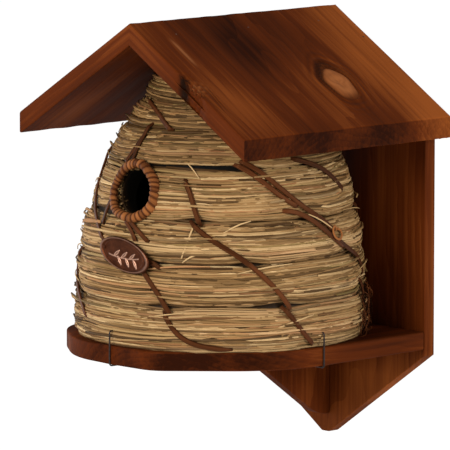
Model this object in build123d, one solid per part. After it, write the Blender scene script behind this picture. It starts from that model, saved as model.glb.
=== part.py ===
from build123d import *
import os
from math import acos, asin, atan2, cos, degrees, hypot, radians, sin, tan

# A straw hive nest box on a wooden wall bracket with a gable roof.
# Millimetres. +X is to the right, -Y is the front, +Z is up. The wall is the plane Y = 0.
# The origin is the centre of the keyhole plate's round hole, in the face that meets the wall.

os.makedirs("parts", exist_ok=True)

# Boards
ridge_above_hanger = 70.0
overall_height = 335.4
board_width = 217.0
board_thick = 10.8
board_tip_width = 7.8
board_tip_slope = 34.7
shelf_top_drop = 243.9
shelf_thick = 14.3
shelf_depth = 220.1
shelf_right_flat = 36.0
shelf_right_chamfer = 45.0
shelf_right_front_corner = 30.0
shelf_right_side_corner = 100.0
shelf_left_flat = 50.0
shelf_left_chamfer = 36.0
shelf_left_front_corner = 80.0
shelf_left_side_corner = 50.0
gusset_thick = 9.8
gusset_reach = 98.0
gusset_height = 62.4
gusset_slope = 36.0
gusset_foot_round = 34.0

# Roof
roof_width = 250.0
roof_depth = 218.0
roof_pitch = 31.6
roof_thick = 14.2

# Hive, courses counted from the foot up
course_heights = [33.9, 33.0, 31.0, 39.5, 26.0, 18.5, 22.0]
course_foot_radii = [105.0, 106.0, 104.5, 99.0, 89.0, 75.0, 58.0]
course_bulge = 2.6
crown_shoulder_out = 0.72
crown_shoulder_up = 0.66
straw_wall = 14.0
hive_board_gap = 1.0
mouth_course = 3
mouth_bore = 34.7
ring_tube = 6.6
ring_core_wire = 4.2
ring_seat_gap = 0.3

# Rattan stitches, one set for each course under the crown, from the foot up.
# A turn is the angle round the hive from the front, towards the right, at the course's top.
stitch_count = 7
stitch_turns = [22.0, 9.0, 36.0, 26.0, 16.0, -20.0]
stitch_slants = [42.0, 43.0, 48.0, 26.0, 20.0, 50.0]
stitch_width = 4.3
stitch_thick = 1.1
stitch_lift = 0.15
stitch_room = 2.5
ring_strip_turns = (-4.0, 5.0)

# Tag and its pins
tag_length = 52.0
tag_height = 24.8
tag_thick = 1.2
tag_rim = 0.6
tag_rim_width = 1.6
tag_tilt = 12.0
tag_turn = 3.0
tag_above_shelf = 70.4
tag_pin_spacing = 43.0
pin_shank = 1.2
pin_head = 3.0
pin_head_thick = 0.6
pin_length = 15.0
tag_gap = 0.3

# Wire ties, by the direction in which each one leaves the hive
tie_angles = {"front": 266.0, "right": 0.0, "left": 180.0}
tie_wire = 1.2
tie_above_shelf = 11.3
tie_depth_in_straw = 8.0
tie_run_under_shelf = 14.0
tie_hook = 5.0
tie_bend = 2.0
tie_gap = 0.4

# Fasteners
screw_shank = 3.4
screw_head = 6.6
shelf_screw_length = 38.0
shelf_screw_spread = 82.0
gusset_screw_length = 32.0
gusset_screw_drop = 34.0
gusset_screw_from_board = 44.0
plate_screw_shank = 2.2
plate_screw_head = 4.2
plate_screw_length = 8.5
nail_shank = 1.6
nail_length = 32.0
nail_slope_places = (42.0, 98.0)
brad_shank = 1.4
brad_length = 28.0
brad_below_ridge = 9.5
brad_end_margin = 34.0
fastener_gap = 0.08

# Keyhole plate
plate_width = 20.0
plate_height = 46.0
plate_thick = 1.5
plate_gap = 0.2
keyhole_round = 10.0
keyhole_slot = 4.8
keyhole_rise = 12.0
keyhole_pocket_depth = 5.5
keyhole_pocket_room = 1.0
plate_screw_spread = 36.0
plate_centre_rise = 3.0

# Places that follow from the sizes above
ridge_z = ridge_above_hanger
tip_z = ridge_z - overall_height
roof_slope = tan(radians(roof_pitch))
roof_plumb = roof_thick / cos(radians(roof_pitch))
roof_drop = roof_slope * roof_width / 2
board_face_y = -board_thick
shelf_z = ridge_z - shelf_top_drop
shelf_under_z = shelf_z - shelf_thick
shelf_front_y = board_face_y - shelf_depth
side_end_z = tip_z + (board_width - board_tip_width) / 2 * tan(radians(board_tip_slope))
course_top_radii = course_foot_radii[1:] + [0.0]
course_foot_z = [shelf_z + sum(course_heights[:i]) for i in range(len(course_heights))]
hive_radius = max(
    (foot + top) / 2 + course_bulge for foot, top in zip(course_foot_radii, course_top_radii)
)
hive_y = board_face_y - hive_board_gap - hive_radius
mouth_z = course_foot_z[mouth_course] + course_heights[mouth_course] / 2
mouth_radius = (course_foot_radii[mouth_course] + course_top_radii[mouth_course]) / 2 + course_bulge
mouth_lean = degrees(atan2(
    course_foot_radii[mouth_course] - course_top_radii[mouth_course],
    course_heights[mouth_course],
))
ring_radius = (mouth_bore + ring_tube) / 2
tag_z = shelf_z + tag_above_shelf


def extruded_along_y(points, y_front, depth):
    """A prism whose outline is drawn in X and Z, running backwards from y_front."""
    outline = make_face(Polyline(*[(x, y_front, z) for x, z in points], close=True))
    return Solid.extrude(outline.face(), Vector(0, depth, 0))


def countersunk_screw(shank, head, length, clearance=0.0):
    """A screw pointing down -Z, with the top of its head at Z = 0."""
    shank_r = shank / 2 + clearance
    head_r = head / 2 + clearance
    foot = -length - clearance
    profile = make_face(Polyline(
        (0, 0, 0),
        (head_r, 0, 0),
        (shank_r, 0, shank_r - head_r),
        (shank_r, 0, foot + shank_r),
        (0, 0, foot),
        close=True,
    ))
    return revolve(profile, Axis.Z)


def plain_nail(shank, length, clearance=0.0):
    """A headless nail pointing down -Z from Z = 0, with a blunt end."""
    nail = Cylinder(shank / 2 + clearance, length + clearance)
    return Pos(0, 0, -(length + clearance) / 2) * nail


def placed(shape, point, direction):
    """Move a fastener so that its head is at the point and it drives in along the direction."""
    seat = Plane(origin=point, z_dir=-Vector(*direction))
    return seat.location * shape


def group(shapes):
    return Compound(children=[solid for shape in shapes for solid in shape.solids()])


# ---- fasteners: each list of places serves both the fasteners and their holes ----

def shelf_screw_places():
    z = shelf_z - shelf_thick / 2
    return [((x, 0, z), (0, -1, 0)) for x in (-shelf_screw_spread, shelf_screw_spread)]


def gusset_screw_places():
    from_behind = ((0, 0, shelf_under_z - gusset_screw_drop), (0, -1, 0))
    from_above = ((0, board_face_y - gusset_screw_from_board, shelf_z), (0, 0, -1))
    return [from_behind, from_above]


def plate_screw_places():
    rise = plate_screw_spread / 2
    return [((0, 0, plate_centre_rise + s * rise), (0, -1, 0)) for s in (-1, 1)]


def roof_nail_places():
    """Square to each slope, into the middle of the back board's sloping top edge."""
    places = []
    pitch = radians(roof_pitch)
    for side in (-1, 1):
        for along in nail_slope_places:
            point = (side * along * cos(pitch), -board_thick / 2, ridge_z - along * sin(pitch))
            places.append((point, (-side * sin(pitch), 0, -cos(pitch))))
    return places


def ridge_brad_places():
    """Level brads that cross the ridge seam from the right board into the left one."""
    x = brad_below_ridge / roof_slope
    inner = roof_depth - 2 * brad_end_margin
    return [
        ((x, -brad_end_margin - inner * share, ridge_z - brad_below_ridge), (-1, 0, 0))
        for share in (0.0, 0.5, 1.0)
    ]


def shelf_screws(clearance=0.0):
    screw = countersunk_screw(screw_shank, screw_head, shelf_screw_length, clearance)
    return [placed(screw, *place) for place in shelf_screw_places()]


def gusset_screws(clearance=0.0):
    screw = countersunk_screw(screw_shank, screw_head, gusset_screw_length, clearance)
    return [placed(screw, *place) for place in gusset_screw_places()]


def plate_screws(clearance=0.0):
    screw = countersunk_screw(plate_screw_shank, plate_screw_head, plate_screw_length, clearance)
    return [placed(screw, *place) for place in plate_screw_places()]


def roof_nails(clearance=0.0):
    nail = plain_nail(nail_shank, nail_length, clearance)
    return [placed(nail, *place) for place in roof_nail_places()]


def ridge_brads(clearance=0.0):
    brad = plain_nail(brad_shank, brad_length, clearance)
    return [placed(brad, *place) for place in ridge_brad_places()]


# ---- boards ----

def roof_board(side):
    """One slope of the roof: plumb cut at the eave and at the ridge seam."""
    points = [
        (0, ridge_z),
        (side * roof_width / 2, ridge_z - roof_drop),
        (side * roof_width / 2, ridge_z - roof_drop - roof_plumb),
        (0, ridge_z - roof_plumb),
    ]
    board = extruded_along_y(points, -roof_depth, roof_depth)
    for nail in roof_nails(fastener_gap) + ridge_brads(fastener_gap):
        board -= nail
    return board


def back_board():
    half = board_width / 2
    tip = board_tip_width / 2
    shoulder_z = ridge_z - roof_plumb - half * roof_slope
    points = [
        (0, ridge_z - roof_plumb),
        (half, shoulder_z),
        (half, side_end_z),
        (tip, tip_z),
        (-tip, tip_z),
        (-half, side_end_z),
        (-half, shoulder_z),
    ]
    board = extruded_along_y(points, board_face_y, board_thick)
    board -= plate_recess()
    board -= keyhole_pocket()
    holes = shelf_screws(fastener_gap) + gusset_screws(fastener_gap)
    holes += roof_nails(fastener_gap) + plate_screws(fastener_gap)
    for hole in holes:
        board -= hole
    return board


def chamfer_end_y(flat, chamfer):
    """Where a chamfer that starts at the front edge, this far from the middle, meets the side."""
    return shelf_front_y + (board_width / 2 - flat) * tan(radians(chamfer))


def shelf_board():
    """Cut by hand to a round front, fuller on the left, and square at the back against the board."""
    half = board_width / 2
    path = FilletPolyline(
        (half, board_face_y),
        (half, chamfer_end_y(shelf_right_flat, shelf_right_chamfer)),
        (shelf_right_flat, shelf_front_y),
        (-shelf_left_flat, shelf_front_y),
        (-half, chamfer_end_y(shelf_left_flat, shelf_left_chamfer)),
        (-half, board_face_y),
        radius=[
            shelf_right_side_corner,
            shelf_right_front_corner,
            shelf_left_front_corner,
            shelf_left_side_corner,
        ],
    )
    back_edge = Line((-half, board_face_y), (half, board_face_y))
    outline = make_face(path.edges() + back_edge.edges())
    shelf = Pos(0, 0, shelf_under_z) * Solid.extrude(outline.face(), Vector(0, 0, shelf_thick))
    for hole in shelf_screws(fastener_gap) + gusset_screws(fastener_gap):
        shelf -= hole
    for angle in tie_angles.values():
        shelf -= wire_tie(angle, tie_gap / 2)
    return shelf


def bracket_gusset():
    """An upright plate under the shelf, with a long slope and a rounded foot at the board."""
    foot_z = shelf_under_z - gusset_height
    toe_run = gusset_height / tan(radians(gusset_slope))
    toe_y = board_face_y - gusset_reach + toe_run
    edge = Polyline(
        (0, toe_y, foot_z),
        (0, board_face_y, foot_z),
        (0, board_face_y, shelf_under_z),
        (0, board_face_y - gusset_reach, shelf_under_z),
        close=True,
    )
    side = make_face(edge)
    plate = Pos(-gusset_thick / 2, 0, 0) * Solid.extrude(side.face(), Vector(gusset_thick, 0, 0))
    toe_edges = plate.edges().filter_by(Axis.X).sort_by_distance((0, toe_y, foot_z))
    plate = fillet(toe_edges[:1], gusset_foot_round)
    for hole in gusset_screws(fastener_gap):
        plate -= hole
    return plate


# ---- keyhole plate ----

def plate_block(clearance=0.0):
    width = plate_width + 2 * clearance
    height = plate_height + 2 * clearance
    block = Box(width, plate_thick, height)
    return Pos(0, -plate_thick / 2, plate_centre_rise) * block


def keyhole(depth):
    """The round hole at the origin, with the slot above it that a wall screw slides up."""
    round_part = Rot(90, 0, 0) * Cylinder(keyhole_round / 2, depth)
    slot = Pos(0, 0, keyhole_rise / 2) * Box(keyhole_slot, depth, keyhole_rise)
    slot_end = Pos(0, 0, keyhole_rise) * Rot(90, 0, 0) * Cylinder(keyhole_slot / 2, depth)
    return Pos(0, -depth / 2, 0) * (round_part + slot + slot_end)


def hanger_plate():
    plate = plate_block() - keyhole(plate_thick)
    for hole in plate_screws(fastener_gap):
        plate -= hole
    return plate


def plate_recess():
    return plate_block(plate_gap)


def keyhole_pocket():
    """Room behind the plate for the head of the wall screw, over the whole of its slide."""
    depth = plate_thick + keyhole_pocket_depth
    radius = keyhole_round / 2 + keyhole_pocket_room
    low = Rot(90, 0, 0) * Cylinder(radius, depth)
    high = Pos(0, 0, keyhole_rise) * low
    between = Pos(0, 0, keyhole_rise / 2) * Box(2 * radius, depth, keyhole_rise)
    return Pos(0, -depth / 2, 0) * (low + high + between)


# ---- hive ----

def course_edge(index, grow=0.0):
    """The bulging outer edge of one course, moved outwards by grow."""
    foot_z = course_foot_z[index]
    top_z = foot_z + course_heights[index]
    foot_r = course_foot_radii[index] + grow
    top_r = course_top_radii[index] + grow
    slope = hypot(foot_r - top_r, top_z - foot_z)
    bulge_r = (foot_r + top_r) / 2 + course_bulge * (top_z - foot_z) / slope
    bulge_z = (foot_z + top_z) / 2 + course_bulge * (foot_r - top_r) / slope
    return ThreePointArc((foot_r, 0, foot_z), (bulge_r, 0, bulge_z), (top_r, 0, top_z))


def course_profile(index):
    """Half section of one course: a bulging outer edge and a straight inner one."""
    outer = course_edge(index)
    inner_foot = (course_foot_radii[index] - straw_wall, 0, (outer @ 0).Z)
    inner_top = (course_top_radii[index] - straw_wall, 0, (outer @ 1).Z)
    rest = Polyline(outer @ 1, inner_top, inner_foot, outer @ 0)
    return make_face(outer.edges() + rest.edges())


def strip_profile(index):
    """Half section of a thin skin lying just outside one course."""
    inner = course_edge(index, stitch_lift)
    outer = course_edge(index, stitch_lift + stitch_thick)
    foot = Line(inner @ 0, outer @ 0)
    top = Line(inner @ 1, outer @ 1)
    return make_face(outer.edges() + foot.edges() + inner.edges() + top.edges())


def crown_profile():
    """Half section of the top course, a shallow dome that closes the hive."""
    foot_z = course_foot_z[-1]
    foot_r = course_foot_radii[-1]
    top_z = foot_z + course_heights[-1]
    shoulder = (foot_r * crown_shoulder_out, 0, foot_z + course_heights[-1] * crown_shoulder_up)
    outer = Spline((foot_r, 0, foot_z), shoulder, (0, 0, top_z), tangents=((-0.3, 0, 1), (-1, 0, 0)))
    ceiling = (0, 0, top_z - straw_wall)
    rest = Polyline(outer @ 1, ceiling, (foot_r - straw_wall, 0, foot_z), outer @ 0)
    return make_face(outer.edges() + rest.edges())


def on_hive_axis(shape):
    return Pos(0, hive_y, 0) * shape


def mouth_plane():
    """The plane of the mouth ring, square to the straw around the mouth."""
    lean = radians(mouth_lean)
    return Plane(
        origin=(0, hive_y - mouth_radius, mouth_z),
        x_dir=(1, 0, 0),
        z_dir=(0, -cos(lean), sin(lean)),
    )


def mouth_column(radius, depth, height):
    """A round column along the mouth's axis, from a depth in the straw to a height above it."""
    column = Pos(0, 0, (height - depth) / 2) * Cylinder(radius, height + depth)
    return mouth_plane().location * column


def mouth_cut():
    """The bore through the straw, and the wider, shallow step that the ring sits in."""
    step_depth = ring_tube / 2 + ring_seat_gap
    bore = mouth_column(mouth_bore / 2, 2 * straw_wall, 2 * straw_wall)
    return bore + mouth_column(ring_radius + step_depth, step_depth, straw_wall)


def ring_torus(tube_radius):
    return mouth_plane().location * Torus(ring_radius, tube_radius)


def straw_course(index):
    is_crown = index == len(course_heights) - 1
    profile = crown_profile() if is_crown else course_profile(index)
    course = on_hive_axis(revolve(profile, Axis.Z))
    if abs(index - mouth_course) <= 1:
        course -= mouth_cut()
    if index in (1, 2):
        for pin in tag_pins(fastener_gap):
            course -= pin
    if index == 0:
        for angle in tie_angles.values():
            course -= wire_tie(angle, tie_gap / 2)
    return course


def ring_core():
    return ring_torus(ring_core_wire / 2)


def ring_wrap():
    return ring_torus(ring_tube / 2) - ring_torus(ring_core_wire / 2 + fastener_gap)


# ---- rattan ----

def strip_shell(index):
    """A thin skin just outside one course, from which the strips that cross it are cut."""
    return revolve(strip_profile(index), Axis.Z)


def strip_on_shell(shell, index, turn, slant):
    """The part of the skin under a slanting bar that starts at a turn round the hive."""
    top_z = course_foot_z[index] + course_heights[index]
    reach = course_foot_radii[index]
    bar = Box(stitch_width, reach, 4 * reach)
    leaning = Pos(0, -reach, top_z) * Rot(0, -slant, 0) * bar
    return on_hive_axis(shell & (Rot(0, 0, turn) * leaning))


def half_turn_of(half_width, index):
    """The angle that a half width takes up on the face of a course."""
    return degrees(asin(half_width / course_top_radii[index]))


def kept_clear(index):
    """Turns round one course that no stitch may cross, each with its half angle."""
    board_r = hive_radius + hive_board_gap
    strip_r = course_foot_radii[index] + course_bulge + stitch_lift + stitch_thick + stitch_room
    near_board = degrees(acos(min(1.0, board_r / strip_r)))
    places = [(180.0, near_board)]
    if abs(index - mouth_course) <= 1:
        places.append((0.0, half_turn_of(ring_radius + ring_tube / 2, index)))
    if index == 0:
        wire = half_turn_of(tie_wire, index)
        places += [((angle + 90.0) % 360.0, wire) for angle in tie_angles.values()]
    return places


def crosses(start, end, middle, half_angle):
    """True where the turns from start to end come within the half angle of the middle."""
    for whole in (-360.0, 0.0, 360.0):
        if start - half_angle < middle + whole < end + half_angle:
            return True
    return False


def rattan_stitches(index):
    """One set of slanting stitches, spaced evenly round a course."""
    shell = strip_shell(index)
    sweep_width = course_heights[index] * tan(radians(stitch_slants[index]))
    half_width = half_turn_of(stitch_width / 2 / cos(radians(stitch_slants[index])), index)
    strips = []
    for k in range(stitch_count):
        start = stitch_turns[index] + 360.0 / stitch_count * k
        end = start + half_turn_of(sweep_width, index)
        margin = half_width + half_turn_of(stitch_room, index)
        if any(crosses(start, end, turn, half + margin) for turn, half in kept_clear(index)):
            continue
        strip = strip_on_shell(shell, index, start, stitch_slants[index])
        strip -= tag_shadow()
        strips.append(strip)
    return group(strips)


def ring_strips():
    """The strips that run from the mouth ring up and down over the neighbouring courses."""
    strips = []
    for index, turn in zip((mouth_course + 1, mouth_course - 1), ring_strip_turns):
        strip = strip_on_shell(strip_shell(index), index, turn, 0)
        strip -= mouth_column(ring_radius + ring_tube / 2 + ring_seat_gap, straw_wall, straw_wall)
        strip -= tag_shadow()
        strips.append(strip)
    return group(strips)


# ---- tag ----

def tag_place():
    """The tag's back face: upright, tilted in its own plane, just clear of the fullest course."""
    front = -course_front_radius(tag_z) - tag_gap
    face = Plane(origin=(0, front, tag_z), x_dir=(1, 0, 0), z_dir=(0, -1, 0))
    return Pos(0, hive_y, 0) * Rot(0, 0, tag_turn) * face.location * Rot(0, 0, -tag_tilt)


def course_front_radius(z):
    """The fullest radius of the courses within the tag's height of z."""
    radii = []
    for foot_z, height, foot_r, top_r in zip(
        course_foot_z, course_heights, course_foot_radii, course_top_radii
    ):
        middle = foot_z + height / 2
        if abs(middle - z) < (height + tag_height) / 2:
            radii.append((foot_r + top_r) / 2 + course_bulge)
    return max(radii)


def tag_ellipse(margin, thick):
    face = Ellipse(tag_length / 2 + margin, tag_height / 2 + margin)
    return tag_place() * extrude(face, thick)


def tag_shadow():
    """The room that strips leave for the tag, down to the straw behind it."""
    behind = tag_ellipse(tag_gap, -straw_wall / 2)
    return behind + tag_ellipse(tag_gap, tag_thick + tag_rim + stitch_thick)


def tag_plate():
    plate = tag_ellipse(0, tag_thick + tag_rim)
    dish = extrude(Ellipse(tag_length / 2 - tag_rim_width, tag_height / 2 - tag_rim_width), tag_rim)
    plate -= tag_place() * (Pos(0, 0, tag_thick) * dish)
    for pin in tag_pins(fastener_gap):
        plate -= pin
    return plate


def tag_pins(clearance=0.0):
    """Two headed pins through the ends of the tag, driven straight into the straw."""
    pins = []
    for side in (-1, 1):
        shank = Cylinder(pin_shank / 2 + clearance, pin_length)
        head = Cylinder(pin_head / 2, pin_head_thick)
        pin = Pos(0, 0, tag_thick - pin_length / 2) * shank
        if not clearance:
            pin += Pos(0, 0, tag_thick + pin_head_thick / 2) * head
        pins.append(tag_place() * (Pos(side * tag_pin_spacing / 2, 0, 0) * pin))
    return pins


# ---- wire ties ----

def shelf_reach(angle):
    """How far the shelf's edge is from the hive's axis: the front edge, or one of the sides."""
    if abs(sin(radians(angle))) > abs(cos(radians(angle))):
        return hive_y - shelf_front_y
    return board_width / 2


def wire_tie(angle, clearance=0.0):
    """A wire from inside the straw, down over the shelf's edge, and hooked up into its underside."""
    wire_r = tie_wire / 2
    out = max(shelf_reach(angle), hive_radius) + wire_r + tie_gap
    top_z = shelf_z + tie_above_shelf
    under_z = shelf_under_z - wire_r - tie_gap
    hook_r = out - tie_run_under_shelf
    path = FilletPolyline(
        (hive_radius - tie_depth_in_straw, 0, top_z),
        (out, 0, top_z),
        (out, 0, under_z),
        (hook_r, 0, under_z),
        (hook_r, 0, shelf_under_z + tie_hook),
        radius=tie_bend,
    )
    start = Plane(origin=path @ 0, z_dir=path % 0)
    wire = sweep(start * Circle(wire_r + clearance), path=path)
    return on_hive_axis(Rot(0, 0, angle) * wire)


def write(name, shape):
    export_step(shape, f"parts/{name}.step")


write("back_board", back_board())
write("shelf_board", shelf_board())
write("bracket_gusset", bracket_gusset())
write("roof_board_left", roof_board(-1))
write("roof_board_right", roof_board(1))
write("hanger_plate", hanger_plate())
write("hanger_plate_screws", group(plate_screws()))
write("shelf_screws", group(shelf_screws()))
write("gusset_screws", group(gusset_screws()))
write("roof_nails", group(roof_nails()))
write("ridge_brads", group(ridge_brads()))
for number in range(len(course_heights)):
    write(f"straw_course_{number + 1}", straw_course(number))
for number in range(len(course_heights) - 1):
    write(f"rattan_stitches_{number + 1}", rattan_stitches(number))
write("mouth_ring_core", ring_core())
write("mouth_ring_wrap", ring_wrap())
write("mouth_ring_strips", ring_strips())
write("tag_plate", tag_plate())
write("tag_pins", group(tag_pins()))
for side, angle in tie_angles.items():
    write(f"wire_tie_{side}", wire_tie(angle))
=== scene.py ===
import bmesh
import bpy
import numpy as np
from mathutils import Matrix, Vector


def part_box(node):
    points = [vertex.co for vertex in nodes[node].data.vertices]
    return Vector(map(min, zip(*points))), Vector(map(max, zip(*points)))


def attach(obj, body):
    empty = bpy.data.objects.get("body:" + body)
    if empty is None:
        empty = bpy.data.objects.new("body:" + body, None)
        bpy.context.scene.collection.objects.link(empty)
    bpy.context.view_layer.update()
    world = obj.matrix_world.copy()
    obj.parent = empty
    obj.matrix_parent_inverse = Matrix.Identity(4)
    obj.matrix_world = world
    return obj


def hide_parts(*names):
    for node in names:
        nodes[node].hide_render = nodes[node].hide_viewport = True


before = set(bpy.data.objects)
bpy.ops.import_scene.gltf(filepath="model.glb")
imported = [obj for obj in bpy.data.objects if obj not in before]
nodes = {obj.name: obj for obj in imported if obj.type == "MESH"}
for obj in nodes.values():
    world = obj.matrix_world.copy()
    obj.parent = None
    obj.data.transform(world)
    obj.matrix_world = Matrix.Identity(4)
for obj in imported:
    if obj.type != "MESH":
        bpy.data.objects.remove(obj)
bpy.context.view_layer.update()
mm = 0.001
rng = np.random.default_rng(11)

# places that the frame gives
footLow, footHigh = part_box("straw_course_1")
boardLow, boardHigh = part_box("back_board")
shelfLow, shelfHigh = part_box("shelf_board")
roofLow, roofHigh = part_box("roof_board_right")
axisY = (footLow.y + footHigh.y) / 2
shelfZ = shelfHigh.z
courseTop = [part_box(f"straw_course_{i}")[1].z for i in range(1, 8)]
courseEdge = np.array([shelfZ] + courseTop)


def makeObject(name, verts, faces, materials, smooth=True, faceSlots=None, attributes=None):
    # verts is an (n, 3) array; faces is a list of index arrays, one array for each face size
    mesh = bpy.data.meshes.new(name)
    allFaces = [row for block in faces for row in np.asarray(block).tolist()]
    mesh.from_pydata(np.asarray(verts, float).tolist(), [], allFaces)
    for material in materials:
        mesh.materials.append(material)
    if faceSlots is not None:
        mesh.polygons.foreach_set("material_index", np.asarray(faceSlots, np.int32))
    mesh.polygons.foreach_set("use_smooth", np.full(len(mesh.polygons), smooth))
    for key, values in (attributes or {}).items():
        layer = mesh.attributes.new(key, "FLOAT_VECTOR", "POINT")
        layer.data.foreach_set("vector", np.ascontiguousarray(values, np.float32).ravel())
    mesh.update()
    piece = bpy.data.objects.new(name, mesh)
    bpy.context.scene.collection.objects.link(piece)
    return piece


def finish(piece, slotName, *replaced):
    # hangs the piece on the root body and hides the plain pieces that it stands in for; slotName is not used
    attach(piece, "root")
    if replaced:
        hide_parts(*replaced)
    return piece


def gridFaces(rows, columns, closeRows=False, closeColumns=False):
    # quads of a rows x columns grid of points, wrapped round where asked
    r = np.arange(rows if closeRows else rows - 1)
    c = np.arange(columns if closeColumns else columns - 1)
    rr, cc = np.meshgrid(r, c, indexing="ij")
    r2, c2 = (rr + 1) % rows, (cc + 1) % columns
    quads = [rr * columns + cc, rr * columns + c2, r2 * columns + c2, r2 * columns + cc]
    return np.stack(quads, -1).reshape(-1, 4)


def unit(v):
    # each vector divided by its own length
    return v / np.maximum(np.linalg.norm(v, axis=-1, keepdims=True), 1e-12)


def smoothStep(x):
    # three x squared less two x cubed, level at 0 and at 1
    x = np.clip(x, 0, 1)
    return x * x * (3 - 2 * x)


def manyTubes(centre, outward, halfWide, halfThick, sides):
    # N tubes of M stations each: the ring at a station is centre + side * wide * cos + out * thick * sin,
    # where side is square to the run and to the outward direction. Both ends are closed.
    count, stations = centre.shape[:2]
    along = unit(np.gradient(centre, axis=1))
    side = unit(np.cross(along, outward))
    out = np.cross(side, along)
    turn = 2 * np.pi * np.arange(sides) / sides
    ring = (
        centre[:, :, None]
        + side[:, :, None] * (halfWide[..., None] * np.cos(turn))[..., None]
        + out[:, :, None] * (halfThick[..., None] * np.sin(turn))[..., None]
    )
    verts = ring.reshape(-1, 3)
    base = (np.arange(count) * stations * sides)[:, None, None]
    quads = (gridFaces(stations, sides, closeColumns=True)[None] + base).reshape(-1, 4)
    startCap = base[:, 0] + np.arange(sides)[::-1]
    endCap = base[:, 0] + (stations - 1) * sides + np.arange(sides)
    return verts, quads[:, ::-1], startCap[:, ::-1], endCap[:, ::-1]


def closeUp(piece, merge=0.0):
    # joins points closer than merge, or else fills the open ends, and turns every face outwards
    work = bmesh.new()
    work.from_mesh(piece.data)
    if merge:
        bmesh.ops.remove_doubles(work, verts=work.verts, dist=merge)
    else:
        bmesh.ops.holes_fill(work, edges=work.edges, sides=0)
    bmesh.ops.recalc_face_normals(work, faces=work.faces)
    work.to_mesh(piece.data)
    work.free()
    return piece


stain = {
    "dark": (0.020, 0.0036, 0.0005, 1),
    "middle": (0.088, 0.0165, 0.0022, 1),
    "light": (0.270, 0.0680, 0.0120, 1),
    "broken": (0.0075, 0.0028, 0.0010, 1),
    "rubbed": (0.42, 0.155, 0.052, 1),
    "ringShare": 0.07,
    "streakShare": 0.36,
    "patchShare": 0.95,
    "fibreShare": 0.30,
    "toneDrop": 0.35,
    "roughness": 0.48,
    "shine": 0.03,
    "bump": (0.35, 0.0006),
}
straw = {
    # shade is the darkest straw colour, and also the colour of the painted shade among the straws
    "shade": (0.055, 0.025, 0.007, 1),
    "tan": (0.300, 0.165, 0.060, 1),
    "pale": (0.62, 0.415, 0.200, 1),
    "green": (0.24, 0.175, 0.055, 1),
    "pink": (0.38, 0.155, 0.060, 1),
    # painted shade: the colour deep between the straws, and the black of the hive's hollow
    "between": (0.022, 0.011, 0.004, 1),
    "hollowShade": (0.004, 0.003, 0.002, 1),
    "roughness": 0.42,
    "shine": 0.10,
    "bump": (0.30, 0.0002),
}
cane = {
    "dark": {"dark": (0.010, 0.0028, 0.0010, 1), "light": (0.150, 0.044, 0.014, 1), "rough": 0.30},
    "orange": {"dark": (0.055, 0.015, 0.005, 1), "light": (0.34, 0.120, 0.034, 1), "rough": 0.38},
    "shine": 0.30,
    "tint": (0.60, 0.24, 0.09, 1),
    "bump": (0.45, 0.0003),
}
# grain is how many clouds of tarnish there are to a metre
metals = {
    "copperLacquer": {
        # raised is the colour of the painted highlight on the tag's raised parts
        "dark": (0.048, 0.013, 0.005, 1), "light": (0.105, 0.031, 0.012, 1), "raised": (0.56, 0.32, 0.22, 1),
        "rough": 0.30, "metallic": 1.0, "grain": 260.0,
    },
    "blackedWire": {
        "dark": (0.012, 0.009, 0.008, 1), "light": (0.05, 0.035, 0.03, 1),
        "rough": 0.30, "metallic": 0.8, "grain": 900.0,
    },
    "zincPlate": {
        "dark": (0.42, 0.42, 0.43, 1), "light": (0.68, 0.68, 0.70, 1),
        "rough": 0.22, "metallic": 1.0, "grain": 420.0,
    },
    "stainedNail": {
        "dark": (0.05, 0.02, 0.012, 1), "light": (0.16, 0.07, 0.04, 1),
        "rough": 0.35, "metallic": 0.6, "grain": 800.0,
    },
}


def newGroup(name, inputs, outputs):
    # an empty shader group with its sockets: (name, kind, first value) and (name, kind)
    group = bpy.data.node_groups.new(name, "ShaderNodeTree")
    for label, kind, value in inputs:
        socket = group.interface.new_socket(label, in_out="INPUT", socket_type=kind)
        if value is not None:
            socket.default_value = value
    for label, kind in outputs:
        group.interface.new_socket(label, in_out="OUTPUT", socket_type=kind)
    return group, group.nodes.new("NodeGroupInput"), group.nodes.new("NodeGroupOutput")


def addNode(tree, kind, settings=None, **values):
    # a node with its settings and sockets filled in; a socket given as a value is linked
    node = tree.nodes.new(kind)
    for key, value in (settings or {}).items():
        setattr(node, key, value)
    for key, value in values.items():
        socket = node.inputs[key.replace("_", " ")]
        if isinstance(value, bpy.types.NodeSocket):
            tree.links.new(value, socket)
        else:
            socket.default_value = value
    return node


def mathNode(tree, operation, first, second=None, clamp=False):
    node = tree.nodes.new("ShaderNodeMath")
    node.operation = operation
    node.use_clamp = clamp
    for index, value in enumerate((first, second)):
        if isinstance(value, bpy.types.NodeSocket):
            tree.links.new(value, node.inputs[index])
        elif value is not None:
            node.inputs[index].default_value = value
    return node.outputs[0]


def weighted(tree, *pairs):
    # the sum of every socket times its share
    parts = [mathNode(tree, "MULTIPLY", socket, share) for socket, share in pairs]
    total = parts[0]
    for part in parts[1:]:
        total = mathNode(tree, "ADD", total, part)
    return total


def scaled(tree, socket, share, base):
    # base plus share times the socket
    return mathNode(tree, "ADD", mathNode(tree, "MULTIPLY", socket, share), base)


def pastLevel(tree, high, low, gain):
    # 0 while high is under low, then rising by gain, up to 1
    return mathNode(tree, "MULTIPLY", mathNode(tree, "SUBTRACT", high, low, clamp=True), gain, clamp=True)


def mixColour(tree, factor, first, second):
    node = tree.nodes.new("ShaderNodeMix")
    node.data_type = "RGBA"
    for index, value in ((0, factor), (6, first), (7, second)):
        if isinstance(value, bpy.types.NodeSocket):
            tree.links.new(value, node.inputs[index])
        else:
            node.inputs[index].default_value = value
    return node.outputs[2]


def rampNode(tree, factor, stops):
    node = tree.nodes.new("ShaderNodeValToRGB")
    node.color_ramp.elements[0].position = stops[0][0]
    node.color_ramp.elements[0].color = stops[0][1]
    node.color_ramp.elements[1].position = stops[-1][0]
    node.color_ramp.elements[1].color = stops[-1][1]
    for position, colour in stops[1:-1]:
        node.color_ramp.elements.new(position).color = colour
    tree.links.new(factor, node.inputs[0])
    return node.outputs[0]


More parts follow.
